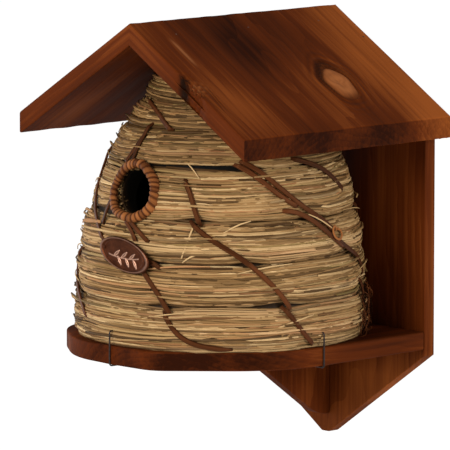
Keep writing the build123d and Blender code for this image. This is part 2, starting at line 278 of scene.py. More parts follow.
def stretched(tree, vector, scale):
    node = tree.nodes.new("ShaderNodeMapping")
    node.inputs["Scale"].default_value = scale
    tree.links.new(vector, node.inputs["Vector"])
    return node.outputs[0]


def noise(tree, vector, scale, detail=3.0, rough=0.55):
    node = addNode(tree, "ShaderNodeTexNoise", Vector=vector, Scale=scale, Detail=detail, Roughness=rough)
    return node.outputs[0]


def buildTimberGroup():
    # timber whose grain runs along X: growth rings round the X axis, fibres along it, broad stain patches
    tree, given, result = newGroup(
        "timberGrain",
        [
            ("Vector", "NodeSocketVector", None), ("Rings", "NodeSocketFloat", 55.0),
            ("Patches", "NodeSocketFloat", 9.0),
        ],
        [("Tone", "NodeSocketFloat"), ("Height", "NodeSocketFloat"), ("Fibre", "NodeSocketFloat")],
    )
    vector = given.outputs["Vector"]
    waver = addNode(
        tree, "ShaderNodeTexNoise", Vector=stretched(tree, vector, (5.0, 16.0, 16.0)), Scale=1.0, Detail=2.0
    )
    shift = addNode(tree, "ShaderNodeVectorMath", {"operation": "SCALE"})
    tree.links.new(waver.outputs["Color"], shift.inputs[0])
    shift.inputs["Scale"].default_value = 0.030
    bent = addNode(tree, "ShaderNodeVectorMath", {"operation": "ADD"})
    tree.links.new(vector, bent.inputs[0])
    tree.links.new(shift.outputs[0], bent.inputs[1])
    rings = addNode(
        tree, "ShaderNodeTexWave", {"wave_type": "RINGS", "rings_direction": "X", "wave_profile": "SAW"},
        Vector=bent.outputs[0], Scale=given.outputs["Rings"], Distortion=1.1, Detail=2.0,
    )
    fibre = noise(tree, stretched(tree, vector, (9.0, 420.0, 420.0)), 1.0, 3.0, 0.6)
    streak = noise(tree, stretched(tree, vector, (4.0, 70.0, 70.0)), 1.0, 3.0, 0.6)
    patch = addNode(
        tree, "ShaderNodeTexNoise", Vector=stretched(tree, vector, (0.55, 1.6, 1.6)),
        Scale=given.outputs["Patches"], Detail=2.0, Roughness=0.5,
    )
    tone = weighted(
        tree, (rings.outputs["Fac"], stain["ringShare"]), (streak, stain["streakShare"]),
        (patch.outputs[0], stain["patchShare"]), (fibre, stain["fibreShare"]),
    )
    tone = mathNode(tree, "SUBTRACT", tone, stain["toneDrop"], clamp=True)
    tree.links.new(tone, result.inputs["Tone"])
    height = weighted(tree, (fibre, 0.6), (rings.outputs["Fac"], 0.4))
    tree.links.new(height, result.inputs["Height"])
    tree.links.new(fibre, result.inputs["Fibre"])
    return tree


def buildFibreGroup():
    # fine streaks that run with a strand: the run attribute holds metres along, metres around and a number
    tree, given, result = newGroup(
        "strandFibre",
        [("Run", "NodeSocketVector", None), ("Fineness", "NodeSocketFloat", 1.0)],
        [("Streak", "NodeSocketFloat"), ("Blotch", "NodeSocketFloat")],
    )
    finer = addNode(tree, "ShaderNodeVectorMath", {"operation": "SCALE"})
    tree.links.new(given.outputs["Run"], finer.inputs[0])
    tree.links.new(given.outputs["Fineness"], finer.inputs["Scale"])
    for label, stretch in (("Streak", (60.0, 2600.0, 40.0)), ("Blotch", (45.0, 200.0, 40.0))):
        tree.links.new(noise(tree, stretched(tree, finer.outputs[0], stretch), 1.0), result.inputs[label])
    return tree


timberGroup = buildTimberGroup()
fibreGroup = buildFibreGroup()


def newMaterial(name):
    material = bpy.data.materials.new(name)
    material.use_nodes = True
    tree = material.node_tree
    return material, tree, tree.nodes["Principled BSDF"]


def placeGroup(tree, group, **values):
    node = tree.nodes.new("ShaderNodeGroup")
    node.node_tree = group
    for key, value in values.items():
        if isinstance(value, bpy.types.NodeSocket):
            tree.links.new(value, node.inputs[key])
        else:
            node.inputs[key].default_value = value
    return node


def addBump(tree, shader, height, strength, distance):
    bump = addNode(tree, "ShaderNodeBump", Height=height, Strength=strength, Distance=distance)
    tree.links.new(bump.outputs[0], shader.inputs["Normal"])


def timberMaterial(
    name, turn, centre, rings, lift, attribute=None, marks=None, endWay=None, litBelow=None
):
    # turn puts the grain, which the group runs along X, along the board; centre is the heart of the rings
    material, tree, shader = newMaterial(name)
    if attribute:
        source = addNode(tree, "ShaderNodeAttribute", {"attribute_name": attribute}).outputs["Vector"]
    else:
        source = addNode(tree, "ShaderNodeTexCoord").outputs["Object"]
    place = tree.nodes.new("ShaderNodeMapping")
    place.vector_type = "TEXTURE"
    place.inputs["Rotation"].default_value = turn
    place.inputs["Location"].default_value = centre
    tree.links.new(source, place.inputs["Vector"])
    grain = placeGroup(tree, timberGroup, Vector=place.outputs[0], Rings=rings)
    tone = mathNode(tree, "ADD", grain.outputs["Tone"], lift)
    if marks:
        # X shifts the tone, Y is how broken and dark the place is, Z how rubbed and pale
        mark = addNode(tree, "ShaderNodeAttribute", {"attribute_name": marks}).outputs["Vector"]
        parts = addNode(tree, "ShaderNodeSeparateXYZ", Vector=mark)
        tone = mathNode(tree, "ADD", tone, parts.outputs["X"])
    if endWay:
        # end grain drinks more stain: darker where the face looks along endWay
        facing = addNode(tree, "ShaderNodeVectorMath", {"operation": "DOT_PRODUCT"})
        tree.links.new(addNode(tree, "ShaderNodeNewGeometry").outputs["Normal"], facing.inputs[0])
        facing.inputs[1].default_value = endWay
        tone = mathNode(tree, "SUBTRACT", tone, pastLevel(tree, facing.outputs["Value"], 0.80, 1.1))
    if litBelow:
        # painted light from below: the wood is painted lighter below this height
        height = addNode(tree, "ShaderNodeSeparateXYZ", Vector=source).outputs["Z"]
        below = pastLevel(tree, litBelow, height, 40.0)
        tone = mathNode(tree, "ADD", tone, mathNode(tree, "MULTIPLY", below, 0.26))
    colour = rampNode(tree, tone, [(0.18, stain["dark"]), (0.50, stain["middle"]), (0.86, stain["light"])])
    if marks:
        colour = mixColour(tree, parts.outputs["Y"], colour, stain["broken"])
        colour = mixColour(tree, parts.outputs["Z"], colour, stain["rubbed"])
    tree.links.new(colour, shader.inputs["Base Color"])
    shader.inputs["Specular IOR Level"].default_value = stain["shine"]
    rough = scaled(tree, grain.outputs["Fibre"], 0.25, stain["roughness"])
    tree.links.new(rough, shader.inputs["Roughness"])
    addBump(tree, shader, grain.outputs["Height"], *stain["bump"])
    return material


def strawMaterial(name, inside=None):
    # tone attribute: brightness, hue and painted shade of each straw; run attribute: where the fibres lie
    material, tree, shader = newMaterial(name)
    tone = addNode(tree, "ShaderNodeAttribute", {"attribute_name": "tone"})
    parts = addNode(tree, "ShaderNodeSeparateXYZ", Vector=tone.outputs["Vector"])
    bright, hue, depth = parts.outputs["X"], parts.outputs["Y"], parts.outputs["Z"]
    run = addNode(tree, "ShaderNodeAttribute", {"attribute_name": "run"}).outputs["Vector"]
    fibre = placeGroup(tree, fibreGroup, Run=run)
    bright = mathNode(tree, "SUBTRACT", scaled(tree, fibre.outputs["Streak"], 0.20, bright), 0.10)
    colour = rampNode(tree, bright, [(0.0, straw["shade"]), (0.45, straw["tan"]), (1.0, straw["pale"])])
    colour = mixColour(tree, pastLevel(tree, hue, 0.86, 3.0), colour, straw["green"])
    colour = mixColour(tree, pastLevel(tree, 0.16, hue, 3.5), colour, straw["pink"])
    colour = mixColour(tree, pastLevel(tree, fibre.outputs["Blotch"], 0.62, 2.0), colour, straw["shade"])
    # painted shade: straws that lie deeper and straws near a course's edge are mixed towards a shade colour
    colour = mixColour(tree, depth, colour, straw["between"] if inside else straw["shade"])
    if inside:
        # the straw is black with shade nearer to the middle of the hive than this
        level = addNode(tree, "ShaderNodeVectorMath", {"operation": "MULTIPLY_ADD"})
        tree.links.new(addNode(tree, "ShaderNodeTexCoord").outputs["Object"], level.inputs[0])
        level.inputs[1].default_value = (1, 1, 0)
        level.inputs[2].default_value = (0, -axisY, 0)
        radius = addNode(tree, "ShaderNodeVectorMath", {"operation": "LENGTH"})
        tree.links.new(level.outputs[0], radius.inputs[0])
        colour = mixColour(tree, pastLevel(tree, inside, radius.outputs["Value"], 140.0), colour, straw["hollowShade"])
    tree.links.new(colour, shader.inputs["Base Color"])
    shader.inputs["Specular IOR Level"].default_value = straw["shine"]
    rough = scaled(tree, fibre.outputs["Streak"], 0.25, straw["roughness"])
    tree.links.new(rough, shader.inputs["Roughness"])
    addBump(tree, shader, fibre.outputs["Streak"], *straw["bump"])
    return material


def caneMaterial(name, dark, light, rough):
    # split cane: streaks along the run, darker in patches
    material, tree, shader = newMaterial(name)
    run = addNode(tree, "ShaderNodeAttribute", {"attribute_name": "run"}).outputs["Vector"]
    tone = addNode(tree, "ShaderNodeAttribute", {"attribute_name": "tone"}).outputs["Vector"]
    parts = addNode(tree, "ShaderNodeSeparateXYZ", Vector=tone)
    fibre = placeGroup(tree, fibreGroup, Run=run, Fineness=0.8)
    mixed = weighted(tree, (fibre.outputs["Streak"], 0.55), (fibre.outputs["Blotch"], 0.45))
    mixed = mathNode(tree, "ADD", mixed, parts.outputs["X"])
    colour = rampNode(tree, mixed, [(0.25, dark), (0.95, light)])
    tree.links.new(colour, shader.inputs["Base Color"])
    shader.inputs["Specular IOR Level"].default_value = cane["shine"]
    shader.inputs["Specular Tint"].default_value = cane["tint"]
    tree.links.new(scaled(tree, fibre.outputs["Blotch"], 0.3, rough), shader.inputs["Roughness"])
    addBump(tree, shader, fibre.outputs["Streak"], *cane["bump"])
    return material


def metalMaterial(name, dark, light, rough, metallic, grain, raised=None):
    # two colours in clouds of tarnish
    material, tree, shader = newMaterial(name)
    where = addNode(tree, "ShaderNodeTexCoord").outputs["Object"]
    cloud = noise(tree, where, grain, 4.0, 0.6)
    colour = rampNode(tree, cloud, [(0.3, dark), (0.75, light)])
    if raised:
        # painted highlight where it stands up
        mark = addNode(tree, "ShaderNodeAttribute", {"attribute_name": "tone"}).outputs["Vector"]
        worn = addNode(tree, "ShaderNodeSeparateXYZ", Vector=mark).outputs["X"]
        worn = mathNode(tree, "MULTIPLY", worn, mathNode(tree, "ADD", cloud, 0.45), clamp=True)
        colour = mixColour(tree, worn, colour, raised)
    tree.links.new(colour, shader.inputs["Base Color"])
    tree.links.new(scaled(tree, cloud, 0.35, rough), shader.inputs["Roughness"])
    shader.inputs["Metallic"].default_value = metallic
    addBump(tree, shader, cloud, 0.12, 0.0003)
    return material


quarterTurn = np.pi / 2
roofTimber = timberMaterial(
    "stainedRoofBoard", (0, 0, 0), (0.02, -0.10, -0.085), 70.0, 0.02,
    attribute="grain", marks="marks", endWay=(1, 0, 0),
)
# painted light: the back board is lighter below the shelf
backTimber = timberMaterial(
    "stainedBackBoard", (0, quarterTurn, 0), (0.03, -0.09, 0.0), 60.0, -0.05, litBelow=shelfLow.z
)
shelfTimber = timberMaterial(
    "stainedShelf", (0, 0, quarterTurn), (0.02, 0.0, shelfZ - 0.07), 70.0, -0.07, endWay=(0.71, -0.71, 0)
)
gussetTimber = timberMaterial("stainedGusset", (0, quarterTurn, 0), (0.05, -0.02, 0.0), 60.0, 0.03)
strawLook = strawMaterial("dryStraw")
# painted shade: the bed takes the dark colour of the shade between the straws, and is black nearer the axis than
# this
bedShadeLook = strawMaterial("strawBedShade", inside=92.5 * mm)
caneDark = caneMaterial("darkSplitCane", **cane["dark"])
caneRing = caneMaterial("orangeCane", **cane["orange"])
tagLook, wireLook, zincLook, nailLook = [metalMaterial(name, **metals[name]) for name in metals]
print("materials ready")


hive = {
    "edgeRadius": np.array([105.0, 106.0, 104.5, 99.0, 89.0, 75.0, 58.0, 6.0]) * mm,
    "bulge": 2.2 * mm,
    "tuck": 0.7 * mm,
    "leanTurn": np.radians(-43.5),
    "leanReach": np.radians(31.0),
    "leanHeights": np.array([0, 20, 40, 60, 75, 90, 107, 134, 150, 168, 190, 230]) * mm,
    "leanSwell": np.array([6.3, 6.3, 5.8, 4.5, 3.5, 2.5, 1.0, -1.5, -2.5, -2.0, -1.0, 0]) * mm,
    "pinchDepth": 1.7 * mm,
    "pinchReach": 10.0 * mm,
    "edgeWander": 1.3 * mm,
}
mouth = {
    "x": 1.5 * mm,
    "wider": 1.08,
    "z": (courseTop[2] + courseTop[3]) / 2,
    "radius": 96.6 * mm,
    "lean": float(np.arctan2(10.0, 39.5)),
    "ringRadius": 20.65 * mm,
    "tube": 3.3 * mm,
    "clip": 19.6 * mm,
}

# cane strips over the straw: (turn from the front in degrees, height above the shelf in mm)
stripRuns = [
    [(-30, 181), (-8, 176.3), (5.8, 169.6), (16, 162.5)],
    [(-44, 150), (-42, 124), (-29, 101), (-11, 73)],
    [(-13, 110), (-15, 103), (-15.8, 96), (-17, 89)],
    [(-41, 67), (-42, 51), (-34, 36), (-21.5, 12)],
    [(10.5, 62), (15.5, 51), (20, 40.4), (25, 26)],
    [(21, 30.5), (26, 16.5), (34, 7), (50, 2.5)],
    [(13, 67.5), (15, 66.5), (17.5, 65), (20, 62.5)],
    [(27.5, 129), (31, 118.5), (33.5, 107.5), (36.5, 95)],
    [(31.5, 98.5), (41, 85.5), (50, 75.5), (59, 63)],
    [(55, 70), (62.1, 58), (68.8, 45.4), (75, 29)],
    [(70.5, 34), (76.4, 21.7), (81.4, 10.9), (86, 2.5)],
    [(53, 142.5), (64, 134), (75, 119), (86, 105.5)],
    [(51, 140), (61.5, 131), (72.5, 116.5), (82, 107)],
    [(77.5, 116), (86, 104.5), (94, 95.5), (101, 84)],
    [(72, 104.5), (84, 100), (96, 86), (108, 71.5)],
    [(80, 143), (94, 137), (106, 127), (117.5, 111)],
    [(100, 83), (111, 70), (120.5, 60.5), (129, 44)],
    [(121, 46), (126, 34), (129, 22), (130, 8)],
    [(36, 178), (44, 174), (56, 168), (66, 163)],
]
ringTies = [
    [(-3.4, 136), (-4.0, 146), (-3.1, 156), (-1.2, 167.5)],
    [(-9.0, 136), (-7.0, 144), (-5.0, 151), (-3.0, 158)],
    [(1.5, 97), (5.5, 91.5), (9.5, 86.5), (13.5, 81)],
    [(-1.0, 96), (2.5, 91), (5.2, 85.5), (7.4, 79)],
]
# the rest of the round: where the columns start and stop, how far apart they are, and for each course
# where the first stitch starts and how it slants, all in degrees
stitch = {
    "first": 130, "last": 322, "step": 51.4, "hidden": (150, 195),
    "turns": (22, 9, 36, 26, 16, -20), "slants": (42, 43, 48, 26, 20, 50),
}


def stitchesRound():
    # each stitch falls in a straight line down its course, from 2 mm above it to 1 mm into the next
    runs = []
    bow = np.linspace(0, 1, 4)
    heights = (courseEdge - shelfZ) / mm
    for course in range(6):
        low, high = heights[course], heights[course + 1]
        slant = np.tan(np.radians(stitch["slants"][course]))
        sweep = np.degrees((high - low) * mm * slant / hive["edgeRadius"][course])
        for number in range(7):
            start = (stitch["turns"][course] + stitch["step"] * number) % 360
            inView = start > stitch["first"] and start + sweep < stitch["last"]
            if inView and not stitch["hidden"][0] < start < stitch["hidden"][1]:
                runs.append([(start - 2 + (sweep + 2) * b, high + 2 - (high - low + 1) * b) for b in bow])
    return runs


stripRuns += stitchesRound()


def edgeLine(index, turn):
    # the line between two courses wanders up and down a little as it goes round
    wander = sum(np.sin(k * turn + 1.7 * index * k + 0.6 * k * k) / k for k in (2, 3, 5, 8, 13))
    calm = 0.15 if index in (0, 7) else 1.0
    return courseEdge[index] + hive["edgeWander"] * 0.7 * calm * wander


# dark slits between courses: (edge, turn in degrees, half length in degrees, height in mm)
slits = [
    (4, 36, 20, 3.6), (4, 5, 12, 2.2), (2, 38, 16, 1.8), (5, -30, 14, 1.5),
    (3, 58, 12, 1.4), (1, 60, 10, 1.2), (3, 24, 8, 1.0),
]


def slitHalf(index, turn):
    # half the height of the gap at that edge and turn: a bump for each slit in the list
    half = np.full_like(turn, 0.25 * mm)
    for edge, middle, reach, tall in slits:
        if edge == index:
            off = (np.degrees(turn) - middle + 180) % 360 - 180
            half = half + 0.5 * tall * mm * np.exp(-((off / reach) ** 4))
    return half


def pinchAt(turn, z):
    # how hard the strips pull the straw in at a place, 0 to 1
    total = np.zeros(np.broadcast(turn, z).shape)
    for run in stripRuns + ringTies:
        points = np.array(run, float)
        heights = shelfZ + points[:, 1] * mm
        order = np.argsort(heights)
        at = np.interp(z, heights[order], np.radians(points[order, 0]))
        off = (turn - at + np.pi) % (2 * np.pi) - np.pi
        beyond = np.maximum(0, np.maximum(z - heights.max(), heights.min() - z)) / (3 * mm)
        total += np.exp(-((off * 0.1 / hive["pinchReach"]) ** 2) - beyond**2)
    return np.minimum(total, 1.3)


def swellAt(turn, z):
    # the hive is not quite round: it swells low down on its left and draws in above
    off = (turn - hive["leanTurn"] + np.pi) % (2 * np.pi) - np.pi
    swell = np.interp(z - shelfZ, hive["leanHeights"], hive["leanSwell"])
    return swell * np.exp(-((off / hive["leanReach"]) ** 2))


def coursePoint(course, turn, share):
    # radius and height at a share of the way up one course: straight between the edges, plus a bulge
    low = edgeLine(course, turn) + slitHalf(course, turn)
    high = edgeLine(course + 1, turn) - slitHalf(course + 1, turn)
    r0, r1 = hive["edgeRadius"][course], hive["edgeRadius"][course + 1]
    if course == 6:
        radius = r1 + (r0 - r1) * np.sqrt(np.clip(1 - share**2, 0, 1))
        z = low + (high - low) * np.sin(np.clip(share, 0, 1) * np.pi / 2) ** 1.15
    else:
        radius = r0 + (r1 - r0) * share
        z = low + (high - low) * share
    full = 1 - (2 * share - 1) ** 2
    tuck = np.minimum(np.abs(2 * share - 1), 1) ** 7
    radius = radius + hive["bulge"] * full - hive["tuck"] * tuck + swellAt(turn, z)
    pull = pinchAt(turn, z)
    z = z - (share - 0.5) * (courseEdge[course + 1] - courseEdge[course]) * 0.10 * pull
    return radius - hive["pinchDepth"] * pull, z


def onSurface(turn, z):
    # radius of a smooth skin over the courses, drawn in as far as a strip draws the straw in
    base = np.interp(z, courseEdge, hive["edgeRadius"])
    return base + 0.85 * hive["bulge"] + swellAt(turn, z) - hive["pinchDepth"]


def toWorld(turn, radius, z):
    # from turn, radius and height about the hive's axis; turn 0 is the front
    return np.stack([radius * np.sin(turn), axisY - radius * np.cos(turn), z], -1)


def outwardAt(turn, tilt=0.25):
    # the way out of the hive at that turn, tilted a little upwards
    return unit(np.stack([np.sin(turn), -np.cos(turn), np.full_like(turn, tilt)], -1))


tagLow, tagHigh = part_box("tag_plate")
tag = {
    "halfLong": 26.0 * mm,
    "halfTall": 12.4 * mm,
    "thick": 1.2 * mm,
    "rim": 0.6 * mm,
    "tilt": np.radians(-12.0),
    "turn": np.radians(3.0),
    "rings": 90,
    "around": 360,
}
levelAcross = np.array([np.cos(tag["turn"]), np.sin(tag["turn"]), 0])
tagFront = np.array([np.sin(tag["turn"]), -np.cos(tag["turn"]), 0])
tagAcross = levelAcross * np.cos(tag["tilt"]) + np.array([0, 0, np.sin(tag["tilt"])])
tagUp = -levelAcross * np.sin(tag["tilt"]) + np.array([0, 0, np.cos(tag["tilt"])])
tagMiddle = np.array((tagLow + tagHigh) / 2)
tagCentre = tagMiddle - tagFront * (tag["thick"] + tag["rim"]) / 2

strawPlan = {
    "perCourse": [520, 520, 500, 600, 420, 330, 330],
    # painted shade: the upper courses, under the roof, are painted darker
    "roofShade": (0, 0, 0, 0, 0.14, 0.26, 0.30),
    "brightness": (0.45, 0.23),
    "rows": 22,
    "stations": 13,
    "sides": 5,
    "halfWide": (0.55 * mm, 1.25 * mm),
    "halfThick": (0.42 * mm, 0.62 * mm),
    "length": (110 * mm, 250 * mm),
    "layers": 2.8 * mm,
    "slope": 0.022,
    "strays": 0.05,
    "straySlope": 0.20,
    "springing": 0.10,
    "springOut": (0.8, 5.0),
    "raggedTurn": -52,
}


def mouthGap(z):
    # half the angle that the mouth takes up at a height
    rise = (z - mouth["z"]) / np.cos(mouth["lean"])
    half = np.sqrt(np.maximum(mouth["clip"] ** 2 - rise**2, 0)) * mouth["wider"]
    return half / mouth["radius"]


def behindTag(points):
    # straw that would come through the tag is pressed back to just behind it
    offset = points - tagCentre
    along, up, out = offset @ tagAcross, offset @ tagUp, offset @ tagFront
    inside = (along / (tag["halfLong"] + 3 * mm)) ** 2 + (up / (tag["halfTall"] + 3 * mm)) ** 2 < 1
    push = np.where(inside, np.minimum(-0.9 * mm - out, 0), 0)
    return points + push[..., None] * tagFront


def strawSpans(course):
    # where each straw lies: its share of the way up the course, how deep, and the turns at its two ends;
    # a straw that would cross the mouth is cut off at the mouth's edge
    count, rows = strawPlan["perCourse"][course], strawPlan["rows"]
    share = ((np.arange(count) * 0.61803) % 1 * rows // 1 + rng.uniform(0.1, 0.9, count)) / rows
    depth = np.sort(rng.uniform(0, 1, count) ** 1.4)[::-1]  # 1 lies deep, 0 on top
    rng.shuffle(depth)
    middle = rng.uniform(-np.pi, np.pi, count)
    meanRadius, meanZ = coursePoint(course, middle, share)
    length = rng.uniform(*strawPlan["length"], count)
    reach = np.minimum(length / np.maximum(meanRadius, 8 * mm) / 2, 1.5)
    first, last = middle - reach, middle + reach
    gap = mouthGap(meanZ)
    side = mouth["x"] / mouth["radius"]
    blocked = (gap > 0) & (first < side + gap) & (last > side - gap)
    toRight = blocked & (middle >= side)
    toLeft = blocked & (middle < side)
    first = np.where(toRight, np.maximum(first, side + gap + rng.uniform(-0.01, 0.015, count)), first)
    last = np.where(toLeft, np.minimum(last, side - gap + rng.uniform(-0.015, 0.01, count)), last)
    last = np.maximum(last, first + 0.06)
    return share, depth, length, first, last, blocked


def strawTone(course, depth, shares):
    # brightness, hue and painted shade for each station of each straw: shade is painted on straws that lie deeper
    # and on straws near an edge of the course, which are darker
    count = len(depth)
    mean, spread = strawPlan["brightness"]
    # the upper courses lose brightness as painted shade under the roof
    bright = np.clip(rng.normal(mean - strawPlan["roofShade"][course], spread, count), 0.04, 1.0)
    hue = rng.uniform(0, 1, count)
    # painted shade: the deeper a straw lies, and the nearer it is to a course's edge, the darker it is
    deep = np.clip(depth * 1.45 - 0.34, 0, 0.93)
    edgeShade = 0.35 * np.abs(2 * shares - 1) ** 6
    dark = np.clip(deep[:, None] + edgeShade, 0, 1)
    return np.stack(np.broadcast_arrays(bright[:, None], hue[:, None], dark), -1)


def layCourse(course):
    # each straw runs round its course on a slight slope; it is pressed down under the strips, and its ends
    # tuck in, or spring out where it is one of the loose ones
    plan = strawPlan
    count, sides = plan["perCourse"][course], plan["sides"]
    share, depth, length, first, last, cutShort = strawSpans(course)
    along = np.linspace(0, 1, plan["stations"])[None]
    turn = first[:, None] + (last - first)[:, None] * along
    slope = rng.normal(0, plan["slope"], count)
    stray = rng.uniform(0, 1, count) < plan["strays"]
    slope = np.where(stray, rng.normal(0, plan["straySlope"], count), slope)
    wave = rng.uniform(0, 6.28, count)[:, None]
    shares = share[:, None] + slope[:, None] * (along - 0.5) + 0.007 * np.sin(7 * along + wave)
    low, high = (0.01, 1.0) if course == 0 else (-0.07, 1.0 if course == 6 else 1.07)
    shares = np.clip(shares, low, high)
    radius, z = coursePoint(course, turn, shares)
    pressed = 1 - 0.9 * np.minimum(pinchAt(turn, z), 1)
    lift = 0.7 * mm * pressed - depth[:, None] * plan["layers"]
    lift = np.where(stray[:, None], 0.9 * mm * pressed, lift)
    ends = np.minimum(along, 1 - along) * 2
    tuckIn = -1.5 * mm * (1 - smoothStep(ends / 0.25))
    springing = rng.uniform(0, 1, count) < plan["springing"]
    onRaggedSide = np.abs(np.degrees(first) - plan["raggedTurn"]) < 12
    springing = springing | (onRaggedSide & (rng.uniform(0, 1, count) < 0.5))
    springOut = rng.uniform(*plan["springOut"], count)[:, None] * mm * (1 - smoothStep(along / 0.3))
    tuckIn = np.where(springing[:, None], springOut, tuckIn)
    tuckIn = np.where(cutShort[:, None], 0.0, tuckIn)
    radius = radius + lift + tuckIn + 0.14 * mm * np.sin(11 * along + 2 * wave)
    # nothing goes through the back board
    limit = np.abs(axisY - boardLow.y) - 0.6 * mm
    radius = np.where(np.cos(turn) < -0.93, np.minimum(radius, limit), radius)
    centre = behindTag(toWorld(turn, radius, z))
    wide = rng.uniform(*plan["halfWide"], count)[:, None] * (0.75 + 0.25 * smoothStep(ends / 0.2))
    thick = rng.uniform(*plan["halfThick"], count)[:, None] * np.ones_like(wide)
    tilt = 0.25 + 0.5 * (course >= 4) + 0.5 * (course >= 5)
    verts, quads, startCap, endCap = manyTubes(centre, outwardAt(turn, tilt), wide, thick, sides)
    tone = np.repeat(strawTone(course, depth, shares)[:, :, None], sides, 2)
    run = np.stack(np.broadcast_arrays(along * length[:, None] + wave, wave * 0.01, wave), -1)
    run = np.repeat(run[:, :, None], sides, 2)
    run[..., 1] += np.arange(sides) * 0.9 * mm
    return verts, [quads, startCap, endCap], tone.reshape(-1, 3), run.reshape(-1, 3)


# the bed's tone puts it fully in the painted shade colour
bed = {"drawnIn": 4.0 * mm, "tone": [0.35, 0.5, 1.0]}


def bedOf(course):
    # the imported straw behind the outer straws: a copy of the solid, merged, with its face drawn in a little; it
    # is coloured all in painted shade
    work = bmesh.new()
    work.from_mesh(nodes[f"straw_course_{course + 1}"].data)
    bmesh.ops.remove_doubles(work, verts=work.verts, dist=1e-6)
    copied = bpy.data.meshes.new("bedCopy")
    work.to_mesh(copied)
    work.free()
    points = np.zeros(len(copied.vertices) * 3)
    copied.vertices.foreach_get("co", points)
    points = points.reshape(-1, 3)
    corners = np.zeros(len(copied.loops), np.int32)
    copied.loops.foreach_get("vertex_index", corners)
    bpy.data.meshes.remove(copied)
    offset = points[:, :2] - np.array([0, axisY])
    radius = np.linalg.norm(offset, axis=1)
    turn = np.arctan2(offset[:, 0], -offset[:, 1])
    drawn = radius - bed["drawnIn"] + np.minimum(swellAt(turn, points[:, 2]), 0)
    shrink = np.where(radius > 6 * mm, drawn / np.maximum(radius, 1e-6), 1.0)
    points[:, :2] = np.array([0, axisY]) + offset * shrink[:, None]
    run = np.stack([turn * 0.1, points[:, 2] + radius, turn * 0], -1)
    return points, corners.reshape(-1, 3), np.tile(bed["tone"], (len(points), 1)), run


for course in range(7):
    verts, strawFaces, tone, run = layCourse(course)
    bedVerts, bedFaces, bedTone, bedRun = bedOf(course)
    isBed = np.repeat([0, 1], [sum(map(len, strawFaces)), len(bedFaces)])
    piece = makeObject(
        f"strawCourse{course + 1}", np.concatenate([verts, bedVerts]), strawFaces + [bedFaces + len(verts)],
        [strawLook, bedShadeLook], smooth=isBed == 0, faceSlots=isBed,
        attributes={"tone": np.concatenate([tone, bedTone]), "run": np.concatenate([run, bedRun])},
    )
    finish(piece, "straw", f"straw_course_{course + 1}")
print("straw laid")


strip = {"stations": 40, "sides": 18, "dive": 3.2 * mm}
stitchStrip = {"lift": 1.6 * mm, "halfWide": 2.0 * mm, "thick": 1.8 * mm}
tieStrip = {"lift": 2.1 * mm, "halfWide": 1.7 * mm, "thick": 1.6 * mm}


def sweptStrip(points, lift, halfWide, thick):
    # a smooth line through the points on the straw's face, with a flat oval section that has a groove
    # down its middle; the ends dive into the straw
    t = np.linspace(0, 1, strip["stations"])
    given = np.array(points, float)
    knots = np.linspace(0, 1, len(given))
    fit = np.polyfit(knots, given, min(3, len(given) - 1))
    line = sum(fit[i] * t[:, None] ** (fit.shape[0] - 1 - i) for i in range(fit.shape[0]))
    turn, z = np.radians(line[:, 0]), shelfZ + line[:, 1] * mm
    smooth = onSurface(turn, z)
    ends = np.minimum(t, 1 - t)
    dive = strip["dive"] * (1 - smoothStep(ends / 0.09))
    centre = toWorld(turn, smooth + lift - dive, z)
    outward = outwardAt(turn, 0.2)
    along = unit(np.gradient(centre, axis=0))
    side = unit(np.cross(along, outward))
    out = np.cross(side, along)
    angle = 2 * np.pi * np.arange(strip["sides"]) / strip["sides"]
    across = np.cos(angle)
    groove = 0.62 * np.exp(-((across / 0.20) ** 2)) * (np.sin(angle) > 0)
    height = np.sin(angle) * (0.62 - 0.10 * across**2) - groove * 0.6
    narrow = 0.72 + 0.28 * smoothStep(ends / 0.12)
    grid = centre[:, None] + side[:, None] * (across * halfWide * narrow[:, None])[..., None]
    grid = grid + out[:, None] * (height * thick)[None, :, None]
    verts = grid.reshape(-1, 3)
    sides = strip["sides"]
    quads = gridFaces(len(t), sides, closeColumns=True)[:, ::-1]
    caps = np.array([np.arange(sides), (len(t) - 1) * sides + np.arange(sides)[::-1]])
    run = np.broadcast_arrays(t[:, None] * 0.05, across[None] * halfWide + 0.01, 0 * t[:, None])
    run = np.stack(run, -1)
    return verts, quads, caps, run.reshape(-1, 3)


def joinStrips(name, runs, material, lift, halfWide, thick):
    # one mesh of several strips, each with its own shade and its own stretch of fibre
    verts, quads, caps, runData, tones = [], [], [], [], []
    base = 0
    for points in runs:
        v, q, c, r = sweptStrip(points, lift, halfWide, thick)
        verts.append(v)
        quads.append(q + base)
        caps.append(c + base)
        shift = rng.uniform(0, 9)
        runData.append(r + np.array([shift, 0, shift]))
        tones.append(np.tile([rng.uniform(-0.15, 0.12), 0, 0], (len(v), 1)))
        base += len(v)
    return makeObject(
        name, np.concatenate(verts), [np.concatenate(quads), np.concatenate(caps)], [material],
        attributes={"run": np.concatenate(runData), "tone": np.concatenate(tones)},
    )


def courseOf(points):
    # the course that holds a strip's mean height
    middle = shelfZ + np.mean([p[1] for p in points]) * mm
    return int(np.clip(np.searchsorted(courseEdge, middle) - 1, 0, 5))


for course in range(6):
    runs = [points for points in stripRuns if courseOf(points) == course]
    piece = joinStrips(f"caneStitches{course + 1}", runs, caneDark, **stitchStrip)
    finish(piece, "rattan", f"rattan_stitches_{course + 1}")
print("strips laid")


ring = {"wraps": 32, "perWrap": 12, "sides": 16, "lap": 0.7 * mm}


def mouthFrame():
    # the mouth's middle on the straw's face, and its three directions, leaning back with the wall
    lean = mouth["lean"]
    centre = np.array([mouth["x"], axisY - mouth["radius"], mouth["z"]])
    across, up = np.array([1.0, 0, 0]), np.array([0, np.sin(lean), np.cos(lean)])
    return centre, across, up, np.array([0, -np.cos(lean), np.sin(lean)])


